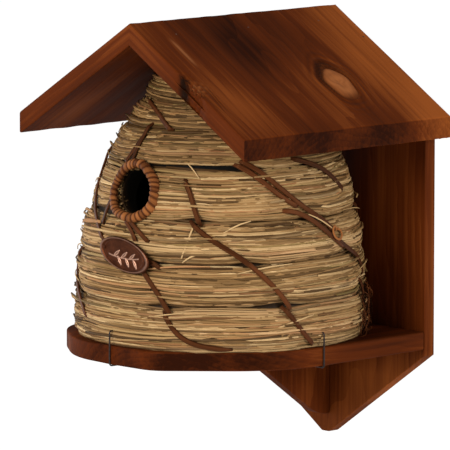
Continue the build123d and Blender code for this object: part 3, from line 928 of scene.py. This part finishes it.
def mouthRing():
    # a torus whose tube swells once for each turn of the wrapping strip, the turns slanting round the tube
    centre, across, up, front = mouthFrame()
    count = ring["wraps"] * ring["perWrap"]
    around = np.linspace(0, 2 * np.pi, count, endpoint=False)[:, None]
    section = np.linspace(0, 2 * np.pi, ring["sides"], endpoint=False)[None]
    phase = around * ring["wraps"] / (2 * np.pi) + section / (2 * np.pi) + 0.25 * np.sin(5 * around)
    inWrap = phase - np.floor(phase)
    index = np.floor(phase)
    swell = 1 - np.abs(2 * inWrap - 1) ** 3.5
    random = np.sin(index * 12.9898) * 43758.5453
    random = random - np.floor(random)
    tube = mouth["tube"] - 0.45 * mm + ring["lap"] * swell + 0.35 * mm * (random - 0.5)
    wobble = 0.5 * mm * np.sin(3 * around + 1) + 0.3 * mm * np.sin(7 * around)
    radial = mouth["ringRadius"] + wobble + tube * np.cos(section)
    lift = tube * np.sin(section) + 0.6 * mm * np.sin(2 * around + 0.5)
    sideways = radial * np.sin(around) * mouth["wider"]
    lift = lift - sideways**2 / (2 * mouth["radius"])
    points = centre + across * sideways[..., None] + up * (radial * np.cos(around))[..., None]
    points = points + front * lift[..., None]
    # streaks go round the tube, so metres along the strip come from the section angle
    run = np.stack([section * 3.3 * mm + index * 0.05, inWrap * 0.005, index * 0.37], -1)
    # painted shade: the cane is darker between the wraps, where the tube draws in
    tone = np.stack([0.40 * (random - 0.5) - 0.75 * (1 - swell) + 0.05, 0 * phase, 0 * phase], -1)
    faces = gridFaces(count, ring["sides"], closeRows=True, closeColumns=True)
    return makeObject("mouthRing", points.reshape(-1, 3), [faces], [caneRing], attributes={
        "run": run.reshape(-1, 3), "tone": tone.reshape(-1, 3)})


finish(mouthRing(), "ring_rattan", "mouth_ring_wrap", "mouth_ring_core")

finish(joinStrips("ringTies", ringTies, caneDark, **tieStrip), "rattan", "mouth_ring_strips")


cutEnds = {
    "count": 260, "stations": 5, "sides": 6, "halfThick": 0.65 * mm, "root": 3 * mm,
    "inward": (0.5, 11.0), "tip": (0.2, 2.4),
}


def mouthEnds():
    # cut ends of the straw on both walls of the mouth, a short way in from the face; those further in are painted
    # darker as shade
    count, sides, root = cutEnds["count"], cutEnds["sides"], cutEnds["root"]
    rise = rng.uniform(-0.97, 0.97, count) * mouth["clip"]
    side = np.where(np.arange(count) % 2 == 0, -1.0, 1.0)
    half = np.sqrt(mouth["clip"] ** 2 - rise**2) * mouth["wider"]
    z = mouth["z"] + rise * np.cos(mouth["lean"])
    inward = rng.uniform(*cutEnds["inward"], count) * mm
    y = axisY - np.sqrt(mouth["radius"] ** 2 - half**2) + inward - (z - mouth["z"]) * -np.tan(mouth["lean"])
    tip = rng.uniform(*cutEnds["tip"], count) * np.where(side < 0, 1.0, 0.4) * mm
    t = np.linspace(0, 1, cutEnds["stations"])[None]
    x = mouth["x"] + side[:, None] * (half[:, None] + root - (root + tip[:, None]) * t)
    droop = rng.normal(0, 0.5, count)[:, None] * t * mm
    centre = np.stack([x, y[:, None] + droop, z[:, None] + droop + 0 * t], -1)
    outward = np.broadcast_to(np.array([0, -0.3, 1.0]), centre.shape)
    thick = np.full(t.shape, cutEnds["halfThick"]) * rng.uniform(0.8, 1.2, count)[:, None]
    verts, quads, startCap, endCap = manyTubes(centre, outward, thick, thick, sides)
    bright = rng.uniform(0.25, 0.75, count)[:, None, None]
    hue = rng.uniform(0.5, 1.0, count)[:, None, None]
    # painted shade: the further in a cut end lies, the darker it is
    shade = np.clip(inward / (11 * mm), 0, 0.9)[:, None, None]
    tone = np.stack(np.broadcast_arrays(bright, hue, shade + np.zeros((1, cutEnds["stations"], sides))), -1)
    run = np.stack(np.broadcast_arrays(t[..., None] * 0.004, np.arange(sides) * mm, bright), -1)
    return makeObject("mouthStrawEnds", verts, [quads, startCap, endCap], [strawLook], attributes={
        "tone": tone.reshape(-1, 3), "run": run.reshape(-1, 3)})


finish(mouthEnds(), "straw")

# loose ends: (turn, height) at each end, lift off the face in mm, half width in mm, brightness, hue
looseRuns = [
    ((33.5, 95), (29, 71), 1.6, 0.9, 0.75, 0.5), ((36, 74), (29.5, 68), 1.8, 0.7, 0.8, 0.5),
    ((14, 61.5), (41, 65.5), 1.4, 0.8, 0.55, 0.0), ((-18, 91), (-47, 84), 3.4, 2.0, 0.5, 0.02),
    ((-30, 96), (-49, 93), 4.0, 1.2, 0.6, 0.05), ((28, 141), (35, 130), 1.5, 0.5, 0.85, 0.5),
    ((20, 128), (29, 126.5), 1.2, 0.9, 0.15, 0.5), ((52, 60), (75, 66), 1.5, 0.6, 0.8, 0.5),
    ((60, 12), (85, 26), 1.6, 0.7, 0.8, 0.4), ((86, 101), (99, 88), 2.0, 0.7, 0.8, 0.5),
    ((-38, 120), (-52, 114), 3.6, 0.5, 0.7, 0.5), ((-36, 70), (-50, 62), 3.5, 0.6, 0.7, 0.5),
    ((-25, 40), (-52, 46), 3.0, 0.6, 0.7, 0.5), ((110, 100), (133, 96), 3.2, 0.5, 0.6, 0.5),
    ((112, 50), (136, 56), 3.4, 0.5, 0.6, 0.5), ((-40, 160), (-56, 152), 3.0, 0.5, 0.5, 0.5),
    ((46, 90), (58, 99), 1.6, 0.6, 0.85, 0.45), ((5, 20), (30, 30), 1.4, 0.6, 0.8, 0.8),
]


def looseStraws():
    # each leaves the straw at one end and stands off it at the other
    ends = np.array([[*first, *last] for first, last, *_ in looseRuns])
    rest = np.array([list(row[2:]) for row in looseRuns])
    t = np.linspace(0, 1, 14)[None]
    turn = np.radians(ends[:, :1] + (ends[:, 2:3] - ends[:, :1]) * t)
    z = shelfZ + (ends[:, 1:2] + (ends[:, 3:4] - ends[:, 1:2]) * t + 1.2 * np.sin(np.pi * t)) * mm
    radius = onSurface(turn, z) + (rest[:, :1] * (0.35 + 0.65 * t)) * mm + 0.8 * mm
    wide = rest[:, 1:2] * mm * (0.55 + 0.45 * np.sin(np.pi * np.clip(t, 0.05, 0.95)))
    verts, quads, startCap, endCap = manyTubes(
        toWorld(turn, radius, z), outwardAt(turn), wide, np.full_like(wide, 0.35 * mm), 6
    )
    tone = np.stack(np.broadcast_arrays(rest[:, 2:3, None], rest[:, 3:4, None], np.zeros((1, 14, 6))), -1)
    run = np.stack(np.broadcast_arrays(t[..., None] * 0.05, np.arange(6) * mm, rest[:, 2:3, None]), -1)
    return makeObject("looseStraws", verts, [quads, startCap, endCap], [strawLook], attributes={
        "tone": tone.reshape(-1, 3), "run": run.reshape(-1, 3)})


finish(looseStraws(), "straw")

fray = {"count": 120, "stations": 10, "turn": (119, 141), "top": (8, 42), "drop": (6, 34)}


def frayedEnd():
    # the last strip's end has split into dark hairs that hang down beside the hive, a few of them pale
    count, stations = fray["count"], fray["stations"]
    t = np.linspace(0, 1, stations)[None]
    start = np.radians(rng.uniform(*fray["turn"], count))[:, None]
    top = rng.uniform(*fray["top"], count)[:, None]
    fall = rng.uniform(*fray["drop"], count)[:, None]
    height = np.maximum(top - fall * t**1.2, 1.5)
    wander = np.cumsum(rng.normal(0, 0.022, (count, stations)), 1)
    turn = start + wander + 0.05 * t
    z = shelfZ + height * mm
    off = rng.uniform(0.6, 7.5, count)[:, None] * np.sin(np.pi * np.clip(t * 0.8 + 0.1, 0, 1)) * mm
    radius = onSurface(turn, z) + 0.8 * mm + off
    thick = np.full((count, stations), 0.20 * mm) * (1 - 0.5 * t)
    verts, quads, startCap, endCap = manyTubes(toWorld(turn, radius, z), outwardAt(turn), thick, thick, 4)
    light = np.where(rng.uniform(0, 1, count) < 0.22, 0.6, -0.30)[:, None, None]
    tone = np.stack(np.broadcast_arrays(light, np.zeros((1, stations, 4)), light * 0), -1)
    run = np.stack(np.broadcast_arrays(t[..., None] * 0.03, np.arange(4) * mm, light * 0), -1)
    return makeObject("frayedEnd", verts, [quads, startCap, endCap], [caneDark], attributes={
        "tone": tone.reshape(-1, 3), "run": run.reshape(-1, 3)})


finish(frayedEnd(), "rattan")


curl = {
    "turn": 99.5, "height": 86 * mm, "loop": 4.3 * mm, "rounds": 1.25, "tail": 6 * mm, "sag": 3 * mm,
    "halfWide": 1.0 * mm, "stations": 48, "sides": 8,
}


def curlEnd():
    # a strip's end that springs out of the straw: a circle on the face plus a straight drift, lifted most
    # in the middle of its run
    stations, sides = curl["stations"], curl["sides"]
    t = np.linspace(0, 1, stations)
    bearing = 2 * np.pi * curl["rounds"] * t
    turn = np.radians(curl["turn"]) + (curl["loop"] * np.cos(bearing) + curl["tail"] * t) / 0.1
    z = shelfZ + curl["height"] + curl["loop"] * np.sin(bearing) - curl["sag"] * t
    radius = onSurface(turn, z) + 1.4 * mm + 2.4 * mm * np.sin(np.pi * t)
    wide = np.full((1, stations), curl["halfWide"])
    verts, quads, startCap, endCap = manyTubes(
        toWorld(turn, radius, z)[None], outwardAt(turn)[None], wide, wide * 0.6, sides
    )
    tone = np.tile([0.35, 0, 0], (len(verts), 1))
    around = np.tile(np.arange(sides) * mm * 0.4, stations)
    run = np.stack([np.repeat(t * 0.04, sides), around, 0 * around], -1)
    return makeObject("curlEnd", verts, [quads, startCap, endCap], [caneRing], attributes={
        "tone": tone, "run": run})


finish(curlEnd(), "rattan")
print("ring made")


def stroke(x, y, x0, y0, x1, y1, bend, wide):
    # 1 along a slightly bent line from one point to the other, falling to 0 at its width
    dx, dy = x1 - x0, y1 - y0
    long = np.hypot(dx, dy)
    t = ((x - x0) * dx + (y - y0) * dy) / long**2
    off = ((x - x0) * dy - (y - y0) * dx) / long - bend * 4 * np.clip(t, 0, 1) * (1 - np.clip(t, 0, 1))
    past = np.maximum(0, np.maximum(-t, t - 1)) * long
    return np.exp(-((off / wide) ** 2) - (past / wide) ** 2)


def sprig(x, y):
    # a plain leafy sprig: one stem and short leaves on both sides of it, each leaf two bent strokes
    raised = stroke(x, y, -15 * mm, -3.5 * mm, 15 * mm, 1.5 * mm, 1.6 * mm, 0.45 * mm)
    for step, lean in ((-10, 1), (-6, -1), (-2, 1), (2, -1), (6, 1), (10, -1)):
        foot, footY = step * mm, (-2.2 + step * 0.12) * mm
        tip, tipY = foot + 4.5 * mm, footY + lean * 5.2 * mm
        for bend, wide in ((0.9, 0.5), (-0.6, 0.4)):
            leaf = stroke(x, y, foot, footY, tip, tipY, lean * bend * mm, wide * mm)
            raised = np.maximum(raised, leaf)
    return raised


def tagPlate():
    # polar grid over the oval: height is a flat field, a rounded rim, a fine inner line and the raised sprig
    reach = np.concatenate([np.linspace(0, 0.995, tag["rings"]), [1.0, 1.0, 0.985, 0.0]])[:, None]
    around = np.linspace(0, 2 * np.pi, tag["around"], endpoint=False)[None]
    x = tag["halfLong"] * reach * np.cos(around)
    y = tag["halfTall"] * reach * np.sin(around)
    edge = (1 - reach) * tag["halfTall"] + 0 * around
    height = tag["thick"] + tag["rim"] * np.exp(-(((edge - 0.9 * mm) / (0.65 * mm)) ** 4))
    height = height + 0.22 * mm * np.exp(-(((edge - 2.6 * mm) / (0.30 * mm)) ** 2))
    height = height + 0.38 * mm * sprig(x, y)
    # painted highlight on the raised sprig and, weaker, along the rim
    raised = sprig(x, y) + 0.32 * np.exp(-(((edge - 0.8 * mm) / (0.40 * mm)) ** 4))
    for side in (-1, 1):
        height = height - 0.7 * mm * np.exp(-((np.hypot(x - side * 21.5 * mm, y) / (1.1 * mm)) ** 6))
    rows = len(reach)
    drop = np.zeros((rows, 1))
    drop[tag["rings"]] = 0.35
    drop[tag["rings"] + 1:] = 1.0
    height = height * (1 - drop) + (0.1 * mm) * (drop >= 1.0)
    points = tagCentre + x[..., None] * tagAcross + y[..., None] * tagUp + height[..., None] * tagFront
    faces = gridFaces(rows, tag["around"], closeColumns=True)
    tone = np.stack([raised, raised * 0, raised * 0], -1)
    piece = makeObject("tagPlate", points.reshape(-1, 3), [faces], [tagLook], attributes={
        "tone": tone.reshape(-1, 3)})
    return closeUp(piece, merge=1e-7)


finish(tagPlate(), "tag_metal", "tag_plate")
print("tag made")


roof = {
    "alongSlope": 250,
    "alongRidge": 270,
    "underneath": 60,
    "ease": 0.9 * mm,
    "plumb": 16.67 * mm,  # thickness measured straight down
    # knots: place down the slope and along the ridge, and the two half widths of the oval
    "knotsRight": [(94.0 * mm, -75.0 * mm, 17.5 * mm, 12.5 * mm)],
    "knotsLeft": [(60.0 * mm, -150.0 * mm, 9.0 * mm, 7.0 * mm)],
    # broken place in the front edge: how far down the slope, half width and depth
    "notchRight": (79.0 * mm, 15.0 * mm, 5.0 * mm),
    "cracks": (9.0 * mm, 13.0 * mm, 6.0 * mm),
}
roofPitch = float(np.arctan2(roofHigh.z - roofLow.z - roof["plumb"], roofHigh.x))


def bell(value, middle, reach, power=2):
    # 1 at the middle, falling to about a third at the reach, flatter on top for a higher power
    return np.exp(-(((value - middle) / reach) ** power))


def roofSection(slopeLong):
    # share of the thickness and distance down the slope, round the section: top, eave, underside, ridge
    # seam, with small steps that ease the corners
    ease, inset = roof["ease"] / roof["plumb"], 1 - roof["ease"] / slopeLong
    nearly = 1 - 0.25 * (1 - inset)
    level = np.concatenate([
        np.ones(roof["alongSlope"]), [1 - ease * 0.4, 1 - ease, 0.5, ease, ease * 0.4],
        np.zeros(roof["underneath"]), [ease, 0.5, 1 - ease],
    ])
    down = np.concatenate([
        np.linspace(0, 1, roof["alongSlope"]) * inset, [nearly, 1, 1, 1, nearly],
        np.linspace(inset, 0, roof["underneath"]), [0, 0, 0],
    ])
    return level[None], down[None] * slopeLong


def roofRows(depth):
    # share of the way back and size of the section for each row: the section grows from the middle line of
    # the front face to full size, and shrinks again at the rear
    ease, inset = roof["ease"] / roof["plumb"], roof["ease"] / depth
    face = [0.0, 0.35, 0.7, 1 - 1.6 * ease]
    body = list(inset + np.linspace(0, 1, roof["alongRidge"]) * (1 - 2 * inset))
    back = [0.0] * 4 + [inset * 0.3] + body + [1 - inset * 0.3] + [1.0] * 4
    shrink = face + [1 - 0.5 * ease] + [1.0] * len(body) + [1 - 0.5 * ease] + face[::-1]
    return np.array(back)[:, None], np.array(shrink)[:, None]


def addKnot(board, number, down, along, halfDown, halfAlong):
    # an oval raised heart in a ring of dark bark, with the grain lines passing round it the way a stream
    # passes round a post
    s, y, top = board["s"], board["y"], board["top"]
    ds, dy = (s - down) / halfDown, (y - along) / halfAlong
    away = np.sqrt(ds**2 + dy**2) + 1e-6
    bearing = np.arctan2(ds, dy)
    away = away * (1 + 0.07 * np.sin(2 * bearing + 1) + 0.04 * np.sin(5 * bearing + number))
    board["grainY"] = np.where(away > 1, y - dy * halfAlong * 0.85 / np.maximum(away, 1) ** 2, y)
    heart = top * bell(away, 0, 0.93, 8)
    bark = top * bell(away, 1.02, 0.11)
    facing = 0.5 + 0.5 * np.cos(bearing + 2.02)
    swirl = top * bell(away, 1.25, 0.75) * (away > 0.95)
    rings = np.sin(11 * away + 2.5 * np.sin(bearing) + 1.5 * np.sin(3 * bearing))
    board["tone"] += heart * (0.04 * rings + 0.16)
    board["tone"] += 0.07 * swirl * np.sin(12 * away + np.sin(2 * bearing)) * (0.3 + facing)
    wideBark = top * bell(away, 1.22, 0.30) * facing
    crumble = 0.75 + 0.25 * np.sin(s * 1900 + 3 * np.sin(y * 900)) * np.sin(y * 1500)
    bark = np.maximum(bark * (0.25 + 0.5 * facing), 0.95 * wideBark) * crumble
    board["dark"] = np.maximum(board["dark"], bark)
    board["pale"] = np.maximum(board["pale"], 0.50 * heart * (0.88 + 0.12 * rings))
    board["lift"] += top * 0.9 * mm * (bell(away, 0.5, 0.42) - bell(away, 1.06, 0.10))
    board["lift"] += 0.35 * mm * swirl * np.sin(17 * away)


def addNotch(board, down, half, deep):
    # a torn pocket in the front edge: a smooth hollow times a rough pattern, dark on its upper side, with
    # a chip behind it, cracks down the slope from it and one rubbed streak
    s, y, top, lev = board["s"], board["y"], board["top"], board["lev"]
    back = np.maximum(y - roofLow.y, 0)
    rough = 0.6 + 0.4 * np.sin(s / (0.9 * mm)) * np.sin(y / (1.3 * mm) + lev * 9)
    wide = bell(s, down, half, 4)
    hole = wide * bell(back, 0, deep)
    chip = bell(s, down + 3 * mm, 0.45 * half) * bell(back, 0, 2.2 * deep)
    board["lift"] -= top * (4.2 * mm * hole * rough + 2.0 * mm * chip * rough)
    board["inward"] = board["frontFace"] * 3.4 * mm * wide * rough
    dead = bell(s, down - half * 0.65, 0.38 * half, 4)
    pale = 0.45 * top * chip * (1 - rough)
    dark = np.maximum(0.95 * board["frontFace"] * dead, 0.8 * top * hole * np.maximum(dead, 0.45 * rough))
    for crack, start in enumerate(roof["cracks"]):
        line = roofLow.y + start + 1.5 * mm * np.sin(s * 90 + crack)
        near = bell(y, line, 0.45 * mm) * bell(s, down + 16 * mm, 17 * mm, 4)
        board["lift"] -= top * 0.5 * mm * near
        dark = np.maximum(dark, 0.75 * top * near)
    streak = bell(y, roofLow.y + 24 * mm, 1.6 * mm) * bell(s, 40 * mm, 15 * mm, 4)
    board["dark"] = np.maximum(board["dark"], dark)
    board["pale"] = np.maximum(np.maximum(board["pale"], pale), 0.45 * top * streak)


def addBroadTone(board):
    # broad darker and lighter areas: darker towards the front, lighter towards the back
    s, y = board["s"], board["y"]
    board["tone"] += -0.05 * smoothStep((-y - 90 * mm) / (100 * mm))
    board["tone"] += -0.08 * bell(s, 50 * mm, 42 * mm) * bell(y, -105 * mm, 48 * mm)
    board["tone"] += 0.24 * smoothStep((y + 95 * mm) / (80 * mm)) + 0.04 * np.sin(s * 45 + y * 20)


def roofBoard(name, side, knots, notch, seed):
    # the section carried along the ridge on a grid; the end faces close onto the middle of the thickness
    slopeLong, depth = roofHigh.x / np.cos(roofPitch), roofHigh.y - roofLow.y
    level, down = roofSection(slopeLong)
    back, shrink = roofRows(depth)
    flat = 0 * (down + back)
    board = {
        "s": down + flat, "y": roofLow.y + back * depth + flat, "lev": 0.5 + (level - 0.5) * shrink,
        "top": (level > 0.9) * (shrink > 0.97), "frontFace": (shrink <= 0.999) * (back < 0.5),
        "lift": flat.copy(), "tone": flat.copy(), "dark": flat.copy(), "pale": flat.copy(), "inward": flat,
    }
    s, y, lev = board["s"], board["y"], board["lev"]
    board["grainY"] = y
    # gentle unevenness of planed stock: six long waves
    waves = np.random.default_rng(seed)
    for _ in range(6):
        a, b, start = waves.uniform(10, 60), waves.uniform(60, 260), waves.uniform(0, 6.28)
        board["lift"] += 0.05 * mm * np.sin(a * s + b * y + start)
    for number, knot in enumerate(knots):
        addKnot(board, number, *knot)
    if notch:
        addNotch(board, *notch)
    addBroadTone(board)
    # the eave's lower edge is splintered
    atEave = (down > slopeLong - 1e-9) * (level < 0.6)
    splinters = np.sin(y * 2100 + np.sin(y * 830) * 3) * np.sin(y * 460 + 1)
    board["lift"] -= atEave * 0.7 * mm * np.clip(splinters, 0, 1)
    x = side * s * np.cos(roofPitch)
    z = roofHigh.z - s * np.sin(roofPitch) - roof["plumb"] * (1 - lev) + board["lift"]
    points = np.stack([x, y + board["inward"], z], -1)
    grain = np.stack([s, board["grainY"], (lev - 1) * roof["plumb"] * np.cos(roofPitch)], -1)
    marks = np.stack([board["tone"], board["dark"], board["pale"]], -1)
    piece = makeObject(name, points.reshape(-1, 3), [gridFaces(*s.shape, closeColumns=True)], [roofTimber],
                       attributes={"grain": grain.reshape(-1, 3), "marks": marks.reshape(-1, 3)})
    closeUp(piece)
    piece.data.set_sharp_from_angle(angle=np.radians(38))
    return piece


for name, side, knots, notch, seed, node in (
    ("roofBoardRight", 1, roof["knotsRight"], roof["notchRight"], 3, "roof_board_right"),
    ("roofBoardLeft", -1, roof["knotsLeft"], None, 4, "roof_board_left"),
):
    finish(roofBoard(name, side, knots, notch, seed), "stained_wood", node)


boards = {
    "backBoard": ("back_board", backTimber, 0.8 * mm),
    "shelfBoard": ("shelf_board", shelfTimber, 1.4 * mm),
    "bracketGusset": ("bracket_gusset", gussetTimber, 0.8 * mm),
}


def easedCopy(name, nodeName, material, width):
    # a merged copy of the board with only its outer edges eased: an edge counts as outer where its wall
    # lies as far out as the board reaches in that wall's direction
    work = bmesh.new()
    work.from_mesh(nodes[nodeName].data)
    bmesh.ops.remove_doubles(work, verts=work.verts, dist=1e-6)
    bmesh.ops.dissolve_limit(work, angle_limit=0.004, verts=work.verts, edges=work.edges)
    co = np.array([v.co for v in work.verts])
    outer = []
    for edge in work.edges:
        if len(edge.link_faces) != 2 or edge.calc_face_angle(0) < 0.5:
            continue
        middle = np.array((edge.verts[0].co + edge.verts[1].co) / 2)
        normals = [np.array(face.normal) for face in edge.link_faces]
        if all(middle @ n > (co @ n).max() - 0.02 * mm for n in normals):
            outer.append(edge)
    bmesh.ops.bevel(
        work, geom=outer, offset=width, segments=3, profile=0.5, affect="EDGES", clamp_overlap=False
    )
    bmesh.ops.recalc_face_normals(work, faces=work.faces)
    mesh = bpy.data.meshes.new(name)
    work.to_mesh(mesh)
    work.free()
    mesh.materials.append(material)
    piece = bpy.data.objects.new(name, mesh)
    bpy.context.scene.collection.objects.link(piece)
    return piece


for name, (node, material, width) in boards.items():
    finish(easedCopy(name, node, material, width), "stained_wood", node)
print("boards made")


# fastenings, plate and wires keep their shapes from the frame and get their metal
fastenings = {
    "hanger_plate": zincLook, "hanger_plate_screws": zincLook, "shelf_screws": zincLook,
    "gusset_screws": zincLook, "roof_nails": nailLook, "ridge_brads": nailLook, "tag_pins": tagLook,
    "wire_tie_front": wireLook, "wire_tie_right": wireLook, "wire_tie_left": wireLook,
}
for name, look in fastenings.items():
    nodes[name].data.materials.clear()
    nodes[name].data.materials.append(look)
print("metal coloured")


studio = {
    "floorSize": 30.0,
    "floorDrop": 0.75,
    "glow": 0.76,
    "glowFrom": 1.6,
    "glowTo": 3.6,
    "room": 0.33,
    "aim": (0.0, -109.8 * mm, -92.3 * mm),
    "azimuth": 46.55,
    "elevation": 7.96,
    "distance": 4.005,
    "lens": 417.3,
    "side": -6.7 * mm,
    "up": 0.4 * mm,
    # azimuth and elevation in degrees, distance and width in metres, power in watts, colour
    "softboxes": {
        "keySoftbox": (8, 20, 2.2, 0.8, 40, (1.0, 0.985, 0.96)),
        "sideSoftbox": (100, 14, 2.6, 0.8, 34, (1, 1, 1)),
        "leftSoftbox": (-75, 4, 2.2, 0.7, 8, (1, 1, 1)),
    },
}


def floorMaterial():
    # a pale floor that is lit from within further out, the way a sweep is lit behind a thing on show
    material, tree, shader = newMaterial("paleFloor")
    where = addNode(tree, "ShaderNodeTexCoord").outputs["Object"]
    cloud = noise(tree, where, 3.0, 2.0)
    colour = rampNode(tree, cloud, [(0.2, (0.80, 0.80, 0.80, 1)), (0.8, (0.84, 0.84, 0.84, 1))])
    tree.links.new(colour, shader.inputs["Base Color"])
    shader.inputs["Roughness"].default_value = 0.9
    shader.inputs["Specular IOR Level"].default_value = 0.0
    far = addNode(tree, "ShaderNodeVectorMath", {"operation": "LENGTH"})
    tree.links.new(where, far.inputs[0])
    glow = addNode(tree, "ShaderNodeMapRange", {"interpolation_type": "SMOOTHSTEP"})
    tree.links.new(far.outputs["Value"], glow.inputs["Value"])
    glow.inputs["From Min"].default_value = studio["glowFrom"]
    glow.inputs["From Max"].default_value = studio["glowTo"]
    glow.inputs["To Max"].default_value = studio["glow"]
    shader.inputs["Emission Color"].default_value = (1, 1, 1, 1)
    tree.links.new(glow.outputs["Result"], shader.inputs["Emission Strength"])
    return material


reach, floorZ = studio["floorSize"], boardLow.z - studio["floorDrop"]
floorPoints = np.array([(-1, -1, 0), (1, -1, 0), (1, 1, 0), (-1, 1, 0)]) * reach + np.array([0, 0, floorZ])
floor = makeObject("floor", floorPoints, [np.array([[0, 1, 2, 3]])], [floorMaterial()], smooth=False)


def direction(azimuth, elevation):
    # from the object towards a place round it; azimuth 0 is in front and elevation 90 above
    a, e = np.radians(azimuth), np.radians(elevation)
    return np.array([np.sin(a) * np.cos(e), -np.cos(a) * np.cos(e), np.sin(e)])


def addSoftbox(name, azimuth, elevation, distance, wide, power, colour):
    light = bpy.data.lights.new(name, "AREA")
    light.shape = "SQUARE"
    light.size = wide
    light.energy = power
    light.color = colour
    lamp = bpy.data.objects.new(name, light)
    bpy.context.scene.collection.objects.link(lamp)
    away = direction(azimuth, elevation)
    lamp.location = np.array(studio["aim"]) + away * distance
    lamp.rotation_euler = Vector(-away).to_track_quat("-Z", "Y").to_euler()


for name, values in studio["softboxes"].items():
    addSoftbox(name, *values)

world = bpy.data.worlds.new("paleRoom")
bpy.context.scene.world = world
world.use_nodes = True
world.node_tree.nodes["Background"].inputs["Color"].default_value = (1, 1, 1, 1)
world.node_tree.nodes["Background"].inputs["Strength"].default_value = studio["room"]
bpy.context.scene.view_settings.view_transform = "Standard"

cameraData = bpy.data.cameras.new("studioCamera")
cameraData.lens = studio["lens"]
cameraData.sensor_width = 36.0
cameraData.clip_end = 100.0
camera = bpy.data.objects.new("studioCamera", cameraData)
bpy.context.scene.collection.objects.link(camera)
away = direction(studio["azimuth"], studio["elevation"])
right = np.array([np.cos(np.radians(studio["azimuth"])), np.sin(np.radians(studio["azimuth"])), 0.0])
aim = np.array(studio["aim"]) + right * studio["side"] - np.array([0, 0, 1]) * studio["up"]
camera.location = aim + away * studio["distance"]
camera.rotation_euler = Vector(-away).to_track_quat("-Z", "Y").to_euler()
bpy.context.scene.camera = camera
print("studio ready")
